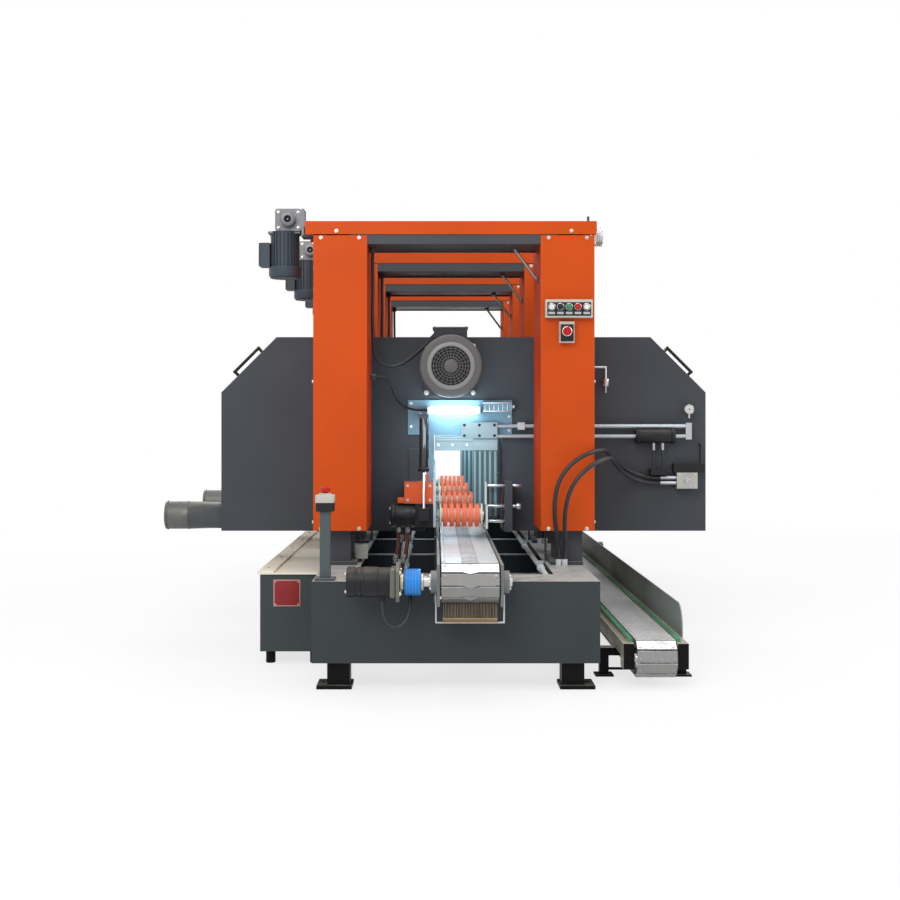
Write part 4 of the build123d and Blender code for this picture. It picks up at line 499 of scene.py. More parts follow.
to_left, to_right, to_front, to_rear = (-1, 0, 0), (1, 0, 0), (0, -1, 0), (0, 1, 0)
upwards, downwards = (0, 0, 1), (0, 0, -1)
m4, m5, m6, m8, m10 = 7, 8, 10, 13, 17  # width over the flats of a bolt's head
base_paint = paint("base_paint", (0.033, 0.040, 0.044), 0.46, dust=0.85, dust_colour=(0.52, 0.51, 0.48),
                   rubbed=0.6, spread=0.5)
foot_black = paint("foot_black", (0.005, 0.005, 0.006), 0.5, dust=0.3, sheen=0.1)
dress("base_frame", base_paint, foot_black, edge=0.003)
leg_top = 109.5
zone("base_frame", foot_black, (-700, -2400, -10), (700, 2400, leg_top))
bolt_zinc = metal("bolt_zinc", (0.62, 0.60, 0.55), 0.35)
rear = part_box("base_frame")[1].y * 1000
plate_lefts, plate_wide, plate_low, plate_high, plate_thick = (-545, 185), 360, 160, 400, 5
rear_plates = [((x, rear, plate_low), (x + plate_wide, rear + plate_thick, plate_high)) for x in plate_lefts]
slabs("base_rear_plates", rear_plates, base_paint, "frame", edge=1.5)
places = [(x + step, rear + plate_thick, z) for x in plate_lefts for step in (20, 180, 340)
          for z in (180, 380)]
bolts("base_rear_bolts", places, to_rear, m8, bolt_zinc, "frame")

# Portals: welded box posts and a crossbeam for each head, painted grey.
# The stays in the corners are bare round bar, and a flat bar stiffens the back edge of each beam.
portal_grey = paint("portal_grey", (0.058, 0.061, 0.069), 0.45, dust=0.5)
stay_steel = metal("stay_steel", (0.30, 0.29, 0.27), 0.32)
dress("portal_frames", portal_grey, stay_steel, edge=0.002)
zone("portal_frames", stay_steel, (265, -2600, 1760), (392, 2600, 1924))
for head in heads:
    beam_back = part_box(head + "_housing")[0].y * 1000 - 215
    lip = ((-398, beam_back - 6, 1926), (398, beam_back, 1934))
    slabs(head + "_beam_lip", [lip], portal_grey, "frame")

# Column covers and beam caps: sheet steel folded at the corners and sprayed orange.
# Plated bolts hold each one to the tabs of its post and beam.
cover_orange = paint("cover_orange", (0.590, 0.074, 0.008), 0.36, dust=0.25, wear=0.35, rubbed=0.5,
                     sheen=0.12)
# The covers' inner faces, towards the throat, take a darker and matter copy of the orange: painted shade.
cover_painted_shade = paint("cover_painted_shade", (0.470, 0.048, 0.010), 0.66, wear=0.6, sheen=0.06)
dress("portal_covers", cover_orange, cover_painted_shade, edge=0.0012)
inner_x, outer_x, side_heights = 399, 648, (650, 1300, 1940)
for x in (-inner_x, inner_x):
    zone("portal_covers", cover_painted_shade, (x - 1, -2600, 600), (x + 1, 2600, 2000))
for head in heads:
    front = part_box(head + "_housing")[0].y * 1000 - 474
    places = [(side * x, front, z) for side in (-1, 1) for x in (436, 612) for z in (622, 1961)]
    places += [(side * 541, front, 1993) for side in (-1, 1)]
    bolts(head + "_cover_bolts", places, to_front, m8, bolt_zinc, "frame")
    for side, label, way in ((-1, "left", to_left), (1, "right", to_right)):
        places = [(side * outer_x, front + y, z) for y in (40, 364) for z in side_heights]
        bolts(f"{head}_cover_side_bolts_{label}", places, way, m8, bolt_zinc, "frame")

# Lift gear: a cast worm gearbox with a hanging finned motor on each portal, roller chains and a tensioner.
# The gearbox is bare cast aluminium, the motor dark blue-grey; a round cover with bolts closes its shaft.
cast_alloy = metal("cast_alloy", (0.18, 0.18, 0.19), 0.50, streak=320.0, depth=0.5)
gear_grey = paint("gear_grey", (0.048, 0.062, 0.077), 0.42, dust=0.3)
chain_steel = metal("chain_steel", (0.20, 0.20, 0.20), 0.45)
dress("lift_gearmotors", gear_grey, cast_alloy, chain_steel, plated, edge=0.0015)
zone("lift_gearmotors", cast_alloy, (-880, -2400, 2003), (-700, 2400, 2120))
zone("lift_gearmotors", plated, (657, -2400, 1900), (720, 2400, 2120))
zone("lift_gearmotors", chain_steel, (-700, -2400, 2015), (445, 2400, 2040))
shadow_black = paint("shadow_black", (0.004, 0.004, 0.004), 0.7)
for head in heads:
    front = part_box(head + "_housing")[0].y * 1000 - 391.5
    shaft_end, fan_low = (-772, front - 26, 2057), (-792, front + 48, 1788)
    places = [(x, front, z) for x in (-818, -726) for z in (2021, 2093)]
    bolts(head + "_lift_bolts", places, to_front, m6, bolt_zinc, "frame")
    turned(head + "_lift_bearing_cap", [(0, 34), (3, 34), (5, 31), (5, 17), (2, 15), (-4, 15)], shaft_end,
           to_front, cast_alloy, "frame")
    # The shaft end is a black disc in the bore of the bearing cap: painted shade.
    turned(head + "_lift_shaft_end", [(0, 15), (0.6, 14), (0.6, 5), (-2, 4), (-2, 0)], shaft_end, to_front,
           shadow_black, "frame")
    fan_cover = [(52, 72), (50, 76), (14, 76), (5, 72), (1, 62), (0, 50), (3, 46), (3, 0)]
    turned(head + "_lift_fan_cover", fan_cover, fan_low, upwards, gear_grey, "frame", segments=32)
    lid = ((-911, front + 6, 1843), (-905, front + 90, 1950))
    slabs(head + "_lift_terminal_lid", [lid], gear_grey, "frame", edge=2)
    flange = ((-868, front + 6, 1993), (-716, front + 90, 2005))
    slabs(head + "_lift_flange", [flange], cast_alloy, "frame", edge=3)

# Saw heads: the wheel housing is a welded shell in slate grey, open at the bottom for the work.
# At the rear two hinged doors with latches close the wheels, and a bolted plate spans the throat.
housing_slate = paint("housing_slate", (0.050, 0.057, 0.067), 0.44, dust=0.4, rubbed=0.5)
hinge_steel = metal("hinge_steel", (0.40, 0.41, 0.42), 0.35)
black_paint = paint("black_paint", (0.013, 0.013, 0.015), 0.40, dust=0.15)


def plate(name, outline, y0, y1, finish, body, edge=1.0):
    """A flat plate in the XZ plane: an outline in millimetres, between two levels of Y."""
    bm = bmesh.new()
    face = bm.faces.new([bm.verts.new((x / 1000, y0 / 1000, z / 1000)) for x, z in outline])
    grown = bmesh.ops.extrude_face_region(bm, geom=[face])
    fresh = [v for v in grown["geom"] if isinstance(v, bmesh.types.BMVert)]
    bmesh.ops.translate(bm, vec=(0, (y1 - y0) / 1000, 0), verts=fresh)
    bmesh.ops.bevel(bm, geom=bm.edges[:], offset=edge / 1000, segments=2, profile=0.5, affect="EDGES",
                    material=-1)
    return make(bm, name, finish, body)


left_door = [(-1131, 591), (-159, 591), (-159, 1516), (-884, 1516), (-1131, 1269)]
right_door = [(269, 591), (1241, 591), (1241, 1269), (994, 1516), (269, 1516)]
bridge = [(-149, 1070), (259, 1070), (259, 1516), (-149, 1516)]
door_thick, door_edge, hinge_stand = 4, 1.5, 8
hinge_profile = [(-40, 0), (-40, 8), (-14, 8), (-13, 7), (-12, 8), (12, 8), (13, 7), (14, 8), (40, 8),
                 (40, 0)]
latch_profile = [(0, 16), (3, 16), (4, 11), (20, 10), (24, 22), (30, 24), (36, 20), (38, 0)]
for head in heads:
    dress(head + "_housing", housing_slate, edge=0.003)
    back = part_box(head + "_housing")[1].y * 1000
    outer = back + door_thick
    plate(head + "_rear_door_left", left_door, back, outer, housing_slate, head, door_edge)
    plate(head + "_rear_door_right", right_door, back, outer, housing_slate, head, door_edge)
    plate(head + "_rear_bridge", bridge, back, outer, housing_slate, head, door_edge)
    places = [(x, outer, z) for x in (-125, 55, 235) for z in (1095, 1490)]
    bolts(head + "_rear_bridge_bolts", places, to_rear, m8, bolt_zinc, head)
    for x in (-154, 264):
        for z in (720, 1010, 1400):
            turned(f"{head}_hinge_{x}_{z}", hinge_profile, (x, back + hinge_stand, z), upwards, hinge_steel,
                   head, segments=14)
    for x in (-1095, 1205):
        for z in (760, 1120):
            turned(f"{head}_latch_{x}_{z}", latch_profile, (x, outer, z), to_rear, black_paint, head,
                   segments=18)

# Saw motors: finned cast body with a pressed fan cover, a round mesh and a terminal box on top.
# Each is flanged to its housing; the wheels run inside on their bearings, with the blade round them.
motor_slate = paint("motor_slate", (0.036, 0.041, 0.048), 0.46, dust=0.3)
fan_grey = paint("fan_grey", (0.112, 0.106, 0.104), 0.38, dust=0.2, rubbed=0.4)
# The fan rim is a paler copy of the fan cover's grey: a painted highlight on the cover's rounded shoulder.
rim_painted_highlight = paint("rim_painted_highlight", (0.24, 0.235, 0.23), 0.34, wear=0.6)
wheel_iron = metal("wheel_iron", (0.30, 0.30, 0.31), 0.4)
blade_steel = metal("blade_steel", (0.62, 0.63, 0.64), 0.25, (0.05, 1, 1))


def mesh_guard(name, middle, rings, spokes, wire, finish, body):
    """A round wire guard facing the front: rings of the given radii and spokes, in millimetres."""
    bm = bmesh.new()
    for ring in rings:
        corners = [bm.verts.new(((ring + a * wire) / 1000, b * wire / 1000, 0))
                   for a, b in ((-1, -1), (1, -1), (1, 1), (-1, 1))]
        edges = [bm.edges.new((corners[i - 1], corners[i])) for i in range(4)]
        bmesh.ops.spin(bm, geom=corners + edges, cent=(0, 0, 0), axis=(0, 1, 0), angle=2 * math.pi, steps=28,
                       use_merge=True)
    length = (rings[-1] - rings[0]) / 1000
    for i in range(spokes):
        turn = Matrix.Rotation(2 * math.pi * i / spokes, 4, "Y")
        push = Matrix.Translation(((rings[0] + rings[-1]) / 2000, 0, 0))
        bar = Matrix.Diagonal((length, wire / 500, wire / 500, 1))
        bmesh.ops.create_cube(bm, size=1, matrix=turn @ push @ bar)
    bmesh.ops.translate(bm, vec=Vector(middle) / 1000, verts=bm.verts)
    return make(bm, name, finish, body)


axis_x, axis_z, flange_corner, lid_top = -13, 1374, (-116, 116), 1567
guard_rings, guard_spokes, guard_wire = (30, 43, 56, 69, 82, 92), 24, 1.5
for head in heads:
    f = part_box(head + "_housing")[0].y * 1000
    dress(head + "_motor", motor_slate, fan_grey, edge=0.001)
    zone(head + "_motor", fan_grey, (-170, f - 421, 1217), (140, f - 349, 1527))
    nose = (axis_x, f - 420, axis_z)
    turned(head + "_fan_rim", [(-1, 112), (3, 110), (6, 104), (7, 98), (6, 93), (2, 91), (-1, 91)], nose,
           to_front, rim_painted_highlight, head, segments=40)
    # The hollow is a black disc just behind the guard: painted shade inside the fan cover.
    turned(head + "_fan_hollow", [(0.8, 92), (0.8, 60), (0.4, 30), (0.4, 0)], nose, to_front, shadow_black,
           head, segments=40)
    mesh_guard(head + "_fan_guard", (axis_x, f - 423, axis_z), guard_rings, guard_spokes, guard_wire,
               fan_grey, head)
    turned(head + "_fan_hub", [(0, 30), (5, 30), (7, 27), (7, 12), (9, 10), (9, 0)], nose, to_front,
           fan_grey, head)
    places = [(axis_x + a, f - 20, axis_z + b) for a in flange_corner for b in flange_corner]
    bolts(head + "_motor_bolts", places, to_front, m10, bolt_zinc, head)
    lid = ((-98, f - 270, 1559), (72, f - 100, lid_top))
    slabs(head + "_terminal_lid", [lid], fan_grey, head, edge=2.5)
    places = [(x, f + y, lid_top) for x in (-86, 60) for y in (-258, -112)]
    bolts(head + "_terminal_screws", places, upwards, m4, bolt_zinc, head)
    dress(head + "_drive_wheel", wheel_iron, edge=0)
    dress(head + "_idler_wheel", wheel_iron, edge=0)
    dress(head + "_blade", blade_steel, edge=0)

# Head fittings: lamp and its plate, press cylinder, guide cylinder, valve, gauge, fence, dust duct
# and handles. They are bolted to the housing; each zone of the solid takes the finish of its own part.
bright_steel = metal("bright_steel", (0.60, 0.61, 0.62), 0.28)
chrome = metal("chrome", (0.74, 0.75, 0.76), 0.14, (1, 1, 0.05))
gloss_black = paint("gloss_black", (0.014, 0.015, 0.017), 0.16, wear=0.4, sheen=0.7)
zinc = metal("zinc", (0.50, 0.52, 0.53), 0.42)
valve_pale = metal("valve_pale", (0.46, 0.45, 0.42), 0.48, streak=260.0, depth=0.4)
plate_blue = paint("plate_blue", (0.19, 0.32, 0.40), 0.42, wear=0.8)
galvanised = metal("galvanised", (0.155, 0.150, 0.143), 0.52, streak=26.0, depth=0.1)
duct_grey = paint("duct_grey", (0.066, 0.071, 0.074), 0.48, dust=0.4)
dial_white = paint("dial_white", (0.60, 0.60, 0.58), 0.3)
lamp_glow, glow_nodes, glow_links, glow_shader = node_tree("lamp_glow")
glow_shader.inputs["Base Color"].default_value = (0.9, 0.95, 1.0, 1)
glow_shader.inputs["Emission Color"].default_value = (0.70, 0.89, 1.0, 1)
glow_low, glow_high = (16, 16, 16, 1), (19, 19, 19, 1)
glow_cloud = noise(glow_nodes, glow_links, scale=3.0)
glow_strength = ramp(glow_nodes, glow_links, glow_cloud, [(0.2, glow_low), (0.8, glow_high)])
glow_links.new(glow_strength, glow_shader.inputs["Emission Strength"])
for head in heads:
    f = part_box(head + "_housing")[0].y * 1000
    node = head + "_fittings"
    dress(node, bright_steel, housing_slate, plate_blue, lamp_glow, black_paint, zinc, galvanised, duct_grey,
          dial_white, valve_pale, chrome, gloss_black, edge=0.001)
    for finish, low, high in (
        (housing_slate, (-600, f - 110, 600), (-420, f, 1500)),
        (housing_slate, (420, f - 110, 1300), (600, f, 1500)),
        (housing_slate, (490, f - 110, 600), (600, f, 780)),
        (plate_blue, (-230, f - 10.5, 1049), (300, f, 1225)),
        (zinc, (-130, f - 82, 1150), (140, f - 10, 1195)),
        (lamp_glow, (-111.5, f - 82, 1150), (123.5, f - 40, 1195)),
        (plate_blue, (145, f - 70, 1155), (300, f - 10, 1220)),
        (gloss_black, (-200, f - 260, 870), (-110, f, 1126)),
        (black_paint, (-200, f - 260, 1126), (-110, f, 1153)),
        (housing_slate, (250, f - 122, 570), (295, f, 825)),
        (black_paint, (900, f - 90, 1006), (1100, f, 1080)),
        (zinc, (980, f - 90, 970), (1050, f, 1006)),
        (zinc, (310, f - 90, 1070), (360, f, 1115)),
        (dial_white, (1140, f - 120, 1150), (1195, f, 1203)),
        (valve_pale, (1100, f - 75, 780), (1210, f, 864)),
        (zinc, (1020, f - 75, 780), (1104, f, 864)),
        (black_paint, (1085, f - 90, 864), (1250, f, 1015)),
        (zinc, (690, f - 90, 1250), (765, f, 1390)),
        (duct_grey, (-1332, f, 560), (-1151, f + 250, 720)),
        (galvanised, (-1460, f, 560), (-1332, f + 250, 720)),
        (black_paint, (-1140, f, 1285), (-960, f + 250, 1600)),
        (black_paint, (1070, f, 1285), (1260, f + 250, 1600)),
        (plate_blue, (-165, f - 31, 815), (-93, f - 0.1, 1144)),
        (housing_slate, (-216, f - 13, 585), (-164, f, 985)),
        (black_paint, (972, f - 90, 848), (1058, f, 884)),
    ):
        zone(node, finish, low, high)
    ribs = [((x, f - 69, 1167), (x + 5, f - 65, 1207)) for x in (158, 180, 202, 224, 246, 268)]
    ribs += [((150, f - 68, z), (291, f - 65, z + 7)) for z in (1204, 1163)]
    slabs(head + "_lamp_box_ribs", ribs, zinc, head)
    turned(head + "_lamp_box_knob", [(0, 6), (6, 6), (7, 10), (13, 10), (15, 7), (15, 0)],
           (293, f - 38, 1187), to_right, bright_steel, head)
    places = [(x, f - 10, z) for x, z in ((-205, 1090), (-205, 1205), (282, 1070), (282, 1140))]
    bolts(head + "_plate_bolts", places, to_front, m6, bolt_zinc, head)
    press_x, press_y = -141, f - 230
    turned(head + "_press_gland", [(0, 9), (0, 24), (3, 26), (15, 26), (17, 23), (17, 21)],
           (press_x, press_y, 876), upwards, black_paint, head)
    places = [(press_x + a, press_y + b, 1152) for a in (-16, 16) for b in (-12, 12)]
    bolts(head + "_press_cap_bolts", places, upwards, m5, bolt_zinc, head)
    dial = (1168, f - 61, 1176)
    turned(head + "_gauge_rim", [(0, 21), (0, 24), (-4, 26), (-14, 26), (-16, 24)], dial, to_front, chrome,
           head)
    turned(head + "_gauge_needle_hub", [(0, 3), (2, 3), (3, 0)], dial, to_front, black_paint, head,
           segments=12)
    for x in (912, 1078):
        turned(f"{head}_guide_head_{x}", [(0, 35), (0, 38), (1, 39), (10, 39), (11, 38), (11, 35)],
               (x, f - 46, 1043), to_right, black_paint, head)
    valve_y = f - 70
    places = [(x, valve_y, z) for x in (1116, 1194) for z in (797, 852)]
    bolts(head + "_valve_bolts", places, to_front, m5, bolt_zinc, head)
    turned(head + "_valve_plug", [(0, 14), (4, 14), (6, 12), (6, 6), (4, 5), (4, 0)], (1155, valve_y, 824),
           to_front, zinc, head)
    spigot_y, spigot_z = f + 125, 641
    turned(head + "_spigot_bead", [(-4, 70), (-3, 72), (0, 73), (3, 72), (4, 70)],
           (-1440, spigot_y, spigot_z), to_right, galvanised, head, segments=32)
    turned(head + "_spigot_seam", [(-3, 70), (-2, 71.5), (2, 71.5), (3, 70)], (-1336, spigot_y, spigot_z),
           to_right, galvanised, head, segments=32)

# Press arm: an orange gear case on a slide, with a black hydraulic motor, a bearing and the chromed
# cylinder rod. It carries the roller that drives the work: red discs with pale hubs between them.
arm_orange = paint("arm_orange", (0.60, 0.085, 0.020), 0.40, dust=0.2, rubbed=0.6)
roller_red = paint("roller_red", (0.76, 0.135, 0.060), 0.45, wear=0.8)
hub_yellow = paint("hub_yellow", (0.72, 0.66, 0.50), 0.5, wear=1.0)
pale_grey = paint("pale_grey", (0.42, 0.45, 0.46), 0.45, wear=0.8)


def ring_zone(node, finish, y, z, inner, outer):
    """Give the faces of a node between two radii about an X axis another of its finishes, in millimetres."""
    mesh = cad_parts[node].data
    index = mesh.materials.find(finish.name)
    for face in mesh.polygons:
        if inner <= math.hypot(face.center.y * 1000 - y, face.center.z * 1000 - z) <= outer:
            face.material_index = index


port_nut = 22
for head in heads:
    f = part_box(head + "_housing")[0].y * 1000
    roller_y, roller_z = f - 150, 661
    arm = head + "_press_arm"
    dress(arm, arm_orange, black_paint, pale_grey, chrome, bright_steel, zinc, edge=0.0015)
    zone(arm, bright_steel, (-240, f - 40.5, 630), (-140, f + 1, 830))
    zone(arm, black_paint, (-310, f - 260, 600), (-95.5, f - 90, 719.5))
    zone(arm, pale_grey, (-95.5, f - 260, 600), (-82, f, 840))
    zone(arm, zinc, (-310, f - 260, 570), (-182, f - 90, 603.5))
    zone(arm, chrome, (-150, f - 240, 700.5), (-132, f - 221, 890))
    places = [(x, f - 200, z) for x in (-219, -111) for z in (736, 805)]
    bolts(head + "_arm_bolts", places, to_front, m6, bolt_zinc, arm)
    slabs(head + "_arm_step", [((-268, f - 198, 721), (-235, roller_y, 748))], arm_orange, arm, edge=2)
    for step, radius in ((-296, 60), (-276, 61), (-205, 61)):
        band = [(0, radius - 4), (0, radius - 1), (2, radius), (8, radius), (10, radius - 1),
                (10, radius - 4)]
        turned(f"{head}_press_motor_band_{-step}", band, (step, roller_y, roller_z), to_right, black_paint,
               arm, segments=32)
    places = [(-302, roller_y + a, roller_z + b) for a in (-34, 34) for b in (-34, 34)]
    bolts(head + "_press_motor_bolts", places, to_left, m6, bolt_zinc, arm)
    for x in (-264.5, -220.5):
        bolts(f"{head}_press_port_{int(-x)}", [(x, roller_y, 596)], downwards, port_nut, zinc, arm)
    roller = head + "_press_roller"
    dress(roller, bright_steel, roller_red, hub_yellow, edge=0.0015)
    ring_zone(roller, roller_red, roller_y, roller_z, inner=35, outer=60)
    ring_zone(roller, hub_yellow, roller_y, roller_z, inner=21, outer=34.9)
    zone(roller, hub_yellow, (-64, f - 210, 600), (-56.5, f - 90, 720))
    zone(roller, hub_yellow, (135.5, f - 210, 600), (143, f - 90, 720))
    turned(head + "_roller_hub", [(0, 20), (0, 27), (2, 29), (9, 29), (11, 26), (11, 20)],
           (-76, roller_y, roller_z), to_right, pale_grey, roller)
    turned(head + "_roller_nut", [(0, 17), (0, 24), (2, 26), (5, 26), (7, 22), (7, 0)],
           (143, roller_y, roller_z), to_right, bright_steel, roller)

# Sliding blade guide: a ribbed column with a carriage and cross plate, bolted together.
# The piston rod draws it along, and a pilot rod steadies it.
guide_green = paint("guide_green", (0.070, 0.105, 0.110), 0.46, wear=0.9, rubbed=0.5)
# The ribs are painted much lighter than the column between them: painted light on the ribs and painted shade
# in the gaps.
rib_painted_light = paint("rib_painted_light", (0.20, 0.30, 0.32), 0.42, wear=0.9)
# The carriage and cross plate take a paler copy of the blue plate's colour: painted lamp light.
carriage_painted_lamp_light = paint("carriage_painted_lamp_light", (0.33, 0.42, 0.44), 0.40, wear=0.8)
rod_bright = paint("rod_bright", (0.46, 0.52, 0.55), 0.30, wear=0.6, bare=0.5)
for head in heads:
    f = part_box(head + "_housing")[0].y * 1000
    guide = head + "_guide_arm"
    dress(guide, guide_green, rod_bright, zinc, carriage_painted_lamp_light, edge=0.0012)
    zone(guide, rod_bright, (222, f - 80, 1030), (1149, f, 1110))
    zone(guide, zinc, (1149, f - 80, 1020), (1190, f, 1115))
    zone(guide, carriage_painted_lamp_light, (-90, f - 60, 972), (101.9, f - 30, 1028))
    plate_y, column_y = f - 64, f - 58
    ribs = [((x, plate_y, 650), (x + 12, column_y, 970)) for x in (104, 129, 154, 179, 205)]
    slabs(head + "_guide_ribs", ribs, rib_painted_light, guide, edge=1.5)
    carriage = [((42, plate_y, 1032), (221, column_y, 1112)), ((102, f - 60, 973), (221, column_y, 1027)),
                ((-88, plate_y, 1018), (221, column_y, 1027)), ((-88, plate_y, 973), (221, column_y, 981))]
    slabs(head + "_guide_carriage", carriage, carriage_painted_lamp_light, guide, edge=1)
    places = [(x, plate_y, z) for x in (58, 132, 206) for z in (1046, 1098)]
    bolts(head + "_guide_bolts", places, to_front, m6, black_paint, guide)
    places = [(x, column_y, 1000) for x in (-70, 0, 70)]
    bolts(head + "_guide_cross_bolts", places, to_front, m5, bolt_zinc, guide)

# Feed conveyor: plate bed with flanged bearings, steel slats on a chain round two drums, driven by a
# black hydraulic motor through a blue coupling. A strip brush on a wire frame sweeps the front turn.
slat_steel = paint("slat_steel", (0.25, 0.245, 0.24), 0.38, dust=0.95, dust_colour=(0.78, 0.78, 0.77),
                   wear=1.0, bare=0.45, spread=0.36)
bed_grey = paint("bed_grey", (0.150, 0.160, 0.165), 0.45, dust=0.5, rubbed=0.6)
coupling_blue = rubber("coupling_blue", (0.012, 0.220, 0.640), 0.38)
brush_wood = paint("brush_wood", (0.22, 0.125, 0.055), 0.6, wear=1.0)
bristle = rubber("bristle", (0.210, 0.165, 0.105), 0.7)
bristle_dark = rubber("bristle_dark", (0.075, 0.055, 0.035), 0.7)


def chain_turns(x, front, back, z, radius, pitch):
    """Where each slat of an endless chain lies: a matrix with X across, Y along and Z outwards."""
    run, half_turn = back - front, math.pi * radius
    count = round(2 * (run + half_turn) / pitch)
    for i in range(count):
        s = 2 * (run + half_turn) * i / count
        if s < run:
            y, turn = front + s, 0.0
        elif s < run + half_turn:
            y, turn = back, (s - run) / radius
        elif s < 2 * run + half_turn:
            y, turn = back - (s - run - half_turn), math.pi
        else:
            y, turn = front, math.pi + (s - 2 * run - half_turn) / radius
        place = Vector((x, y + radius * math.sin(turn), z + radius * math.cos(turn))) / 1000
        yield Matrix.Translation(place) @ Matrix.Rotation(-turn, 4, "X")


def rivets(bm, stand, places, radius, height):
    """Domed rivet heads on a slat, at (x, y) places on its outer face, in millimetres."""
    outer_face = 4
    for x, y in places:
        for wide, narrow, low, high in ((1.0, 0.9, 0, 0.5), (0.9, 0.45, 0.5, 1.0)):
            rise = Matrix.Translation((x / 1000, y / 1000, (outer_face + (low + high) * height / 2) / 1000))
            bmesh.ops.create_cone(bm, cap_ends=True, segments=8, radius1=wide * radius / 1000,
                                  radius2=narrow * radius / 1000, depth=(high - low) * height / 1000,
                                  matrix=stand @ rise)


dress("conveyor_bed", bed_grey, edge=0.0015)
dress("conveyor_chain", slat_steel, edge=0.0012)
dress("conveyor_drive_drum", bright_steel, coupling_blue, edge=0.0015)
zone("conveyor_drive_drum", coupling_blue, (-211, -2540, 400), (-143.5, -2420, 530))
dress("conveyor_tail_drum", bright_steel, edge=0.0015)
flange_dull = paint("flange_dull", (0.150, 0.155, 0.130), 0.5, dust=0.4, wear=1.0, rubbed=0.5)
hub_brass = metal("hub_brass", (0.56, 0.50, 0.36), 0.4)
dress("feed_motor", black_paint, flange_dull, edge=0.0015)
slabs("feed_motor_flange", [((-268, -2546, 407), (-245, -2414, 523))], flange_dull, "frame", edge=8)
zone("feed_motor", flange_dull, (-244.5, -2600, 380), (-205, -2340, 560))
dress("chain_brush", bristle, brush_wood, zinc, bristle_dark, edge=0)
tuft_wide, tuft_pitch = 5, 12
for x in range(-52, 164, tuft_pitch):
    zone("chain_brush", bristle_dark, (x, -2520, 317.5), (x + tuft_wide, -2440, 400))
zone("chain_brush", brush_wood, (-60, -2510, 304), (170, -2450, 317))
zone("chain_brush", zinc, (-95, -2490, 290), (-73, -2470, 460))
zone("chain_brush", zinc, (183, -2490, 290), (205, -2470, 460))
zone("chain_brush", zinc, (-95, -2490, 290), (205, -2470, 304.7))
drum_y, drum_z, slat_pitch = 2480, 465, 50.8
tongue_outline = ((-34, -20), (-34, -24), (0, -36), (34, -24), (34, -20))
bm = bmesh.new()
for stand in chain_turns(x=55, front=-drum_y, back=drum_y, z=drum_z, radius=76, pitch=slat_pitch):
    rivets(bm, stand, ((-103, 12), (103, 12)), radius=6, height=2.2)
    tongue = [bm.verts.new(stand @ Vector((x / 1000, y / 1000, z / 1000)))
              for z in (1, 5.6) for x, y in tongue_outline]
    for i in range(5):
        bm.faces.new((tongue[i - 1], tongue[i], tongue[i + 5], tongue[i + 4]))
    bm.faces.new(tongue[:5])
    bm.faces.new(tongue[5:])
make(bm, "feed_slat_tongues", slat_steel, "frame")
for i in range(5):
    x = -206 + 12.4 * i
    turned(f"coupling_rib_{i}", [(0, 51), (1, 54), (2.5, 55), (6.5, 55), (8, 54), (9, 51)],
           (x, -drum_y, drum_z), to_right, coupling_blue, "conveyor_drive_drum", segments=28)
turned("coupling_hub_inner", [(0, 20), (0, 34), (2, 36), (10, 36), (12, 34), (12, 20)],
       (-144, -drum_y, drum_z), to_right, hub_brass, "conveyor_drive_drum")
turned("coupling_hub_outer", [(0, 16), (0, 32), (2, 34), (14, 34), (16, 32), (16, 16)],
       (-229, -drum_y, drum_z), to_right, hub_brass, "frame")
places = [(-230, a - drum_y, drum_z + b) for a in (-56, 56) for b in (-42, 42)]
bolts("feed_flange_bolts", places, to_right, m8, bolt_zinc, "frame")
for x, length in ((-442, 34), (-400, 16), (-376, 60)):
    band = [(0, 57), (1, 60.5), (3, 62), (length - 3, 62), (length - 1, 60.5), (length, 57)]
    turned(f"feed_motor_band_{-x}", band, (x, -drum_y, drum_z), to_right, black_paint, "frame", segments=32)
places = [(-444, a - drum_y, drum_z + b) for a in (-36, 36) for b in (-36, 36)]
bolts("feed_motor_end_bolts", places, to_left, m6, bolt_zinc, "frame")
bearing_circle, bearing_turns = 34, (0.785, 2.356, 3.927, 5.498)
for y, label in ((-drum_y, "front"), (drum_y, "rear")):
    for way, x in ((to_left, -104), (to_right, 214)):
        places = [(x, y + bearing_circle * math.cos(a), drum_z + bearing_circle * math.sin(a))
                  for a in bearing_turns]
        bolts(f"bed_bearing_bolts_{label}_{x + 104}", places, way, m6, bolt_zinc, "frame")

# Return conveyor beside the base: beige rails with green strips, narrow riveted slats, a bolted guard
# plate, black cross bars and legs, and a gear motor at the rear end.
return_beige = paint("return_beige", (0.38, 0.35, 0.28), 0.5, dust=0.3, rubbed=0.5)
strip_green = rubber("strip_green", (0.055, 0.280, 0.150), 0.42)
guard_slate = paint("guard_slate", (0.250, 0.285, 0.270), 0.45, dust=0.3, rubbed=0.6)
dress("return_bed", return_beige, strip_green, guard_slate, foot_black, gear_grey, edge=0.0015)
zone("return_bed", strip_green, (727, -2400, 185.2), (951, 2400, 200))
zone("return_bed", guard_slate, (975.9, -2200, 124), (982, 2200, 326))
zone("return_bed", foot_black, (600, -2400, -1), (1020, 2400, 124.8))
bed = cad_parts["return_bed"].data
rail_end = 2.2  # in metres, as the corners are
for face in bed.polygons:
    corners = [bed.vertices[i].co for i in face.vertices]
    if max(abs(c.y) for c in corners) > rail_end and len({round(c.x, 3) for c in corners}) == 1:
        face.material_index = bed.materials.find(return_beige.name)
zone("return_bed", foot_black, (700, -2316, 20), (990, -2311, 190))
zone("return_bed", gear_grey, (976.5, 2210, 60), (1240, 2340, 200))
dress("return_chain", slat_steel, edge=0.0012)
dress("return_drive_drum", bright_steel, edge=0.0015)
dress("return_tail_drum", bright_steel, edge=0.0015)
bm = bmesh.new()
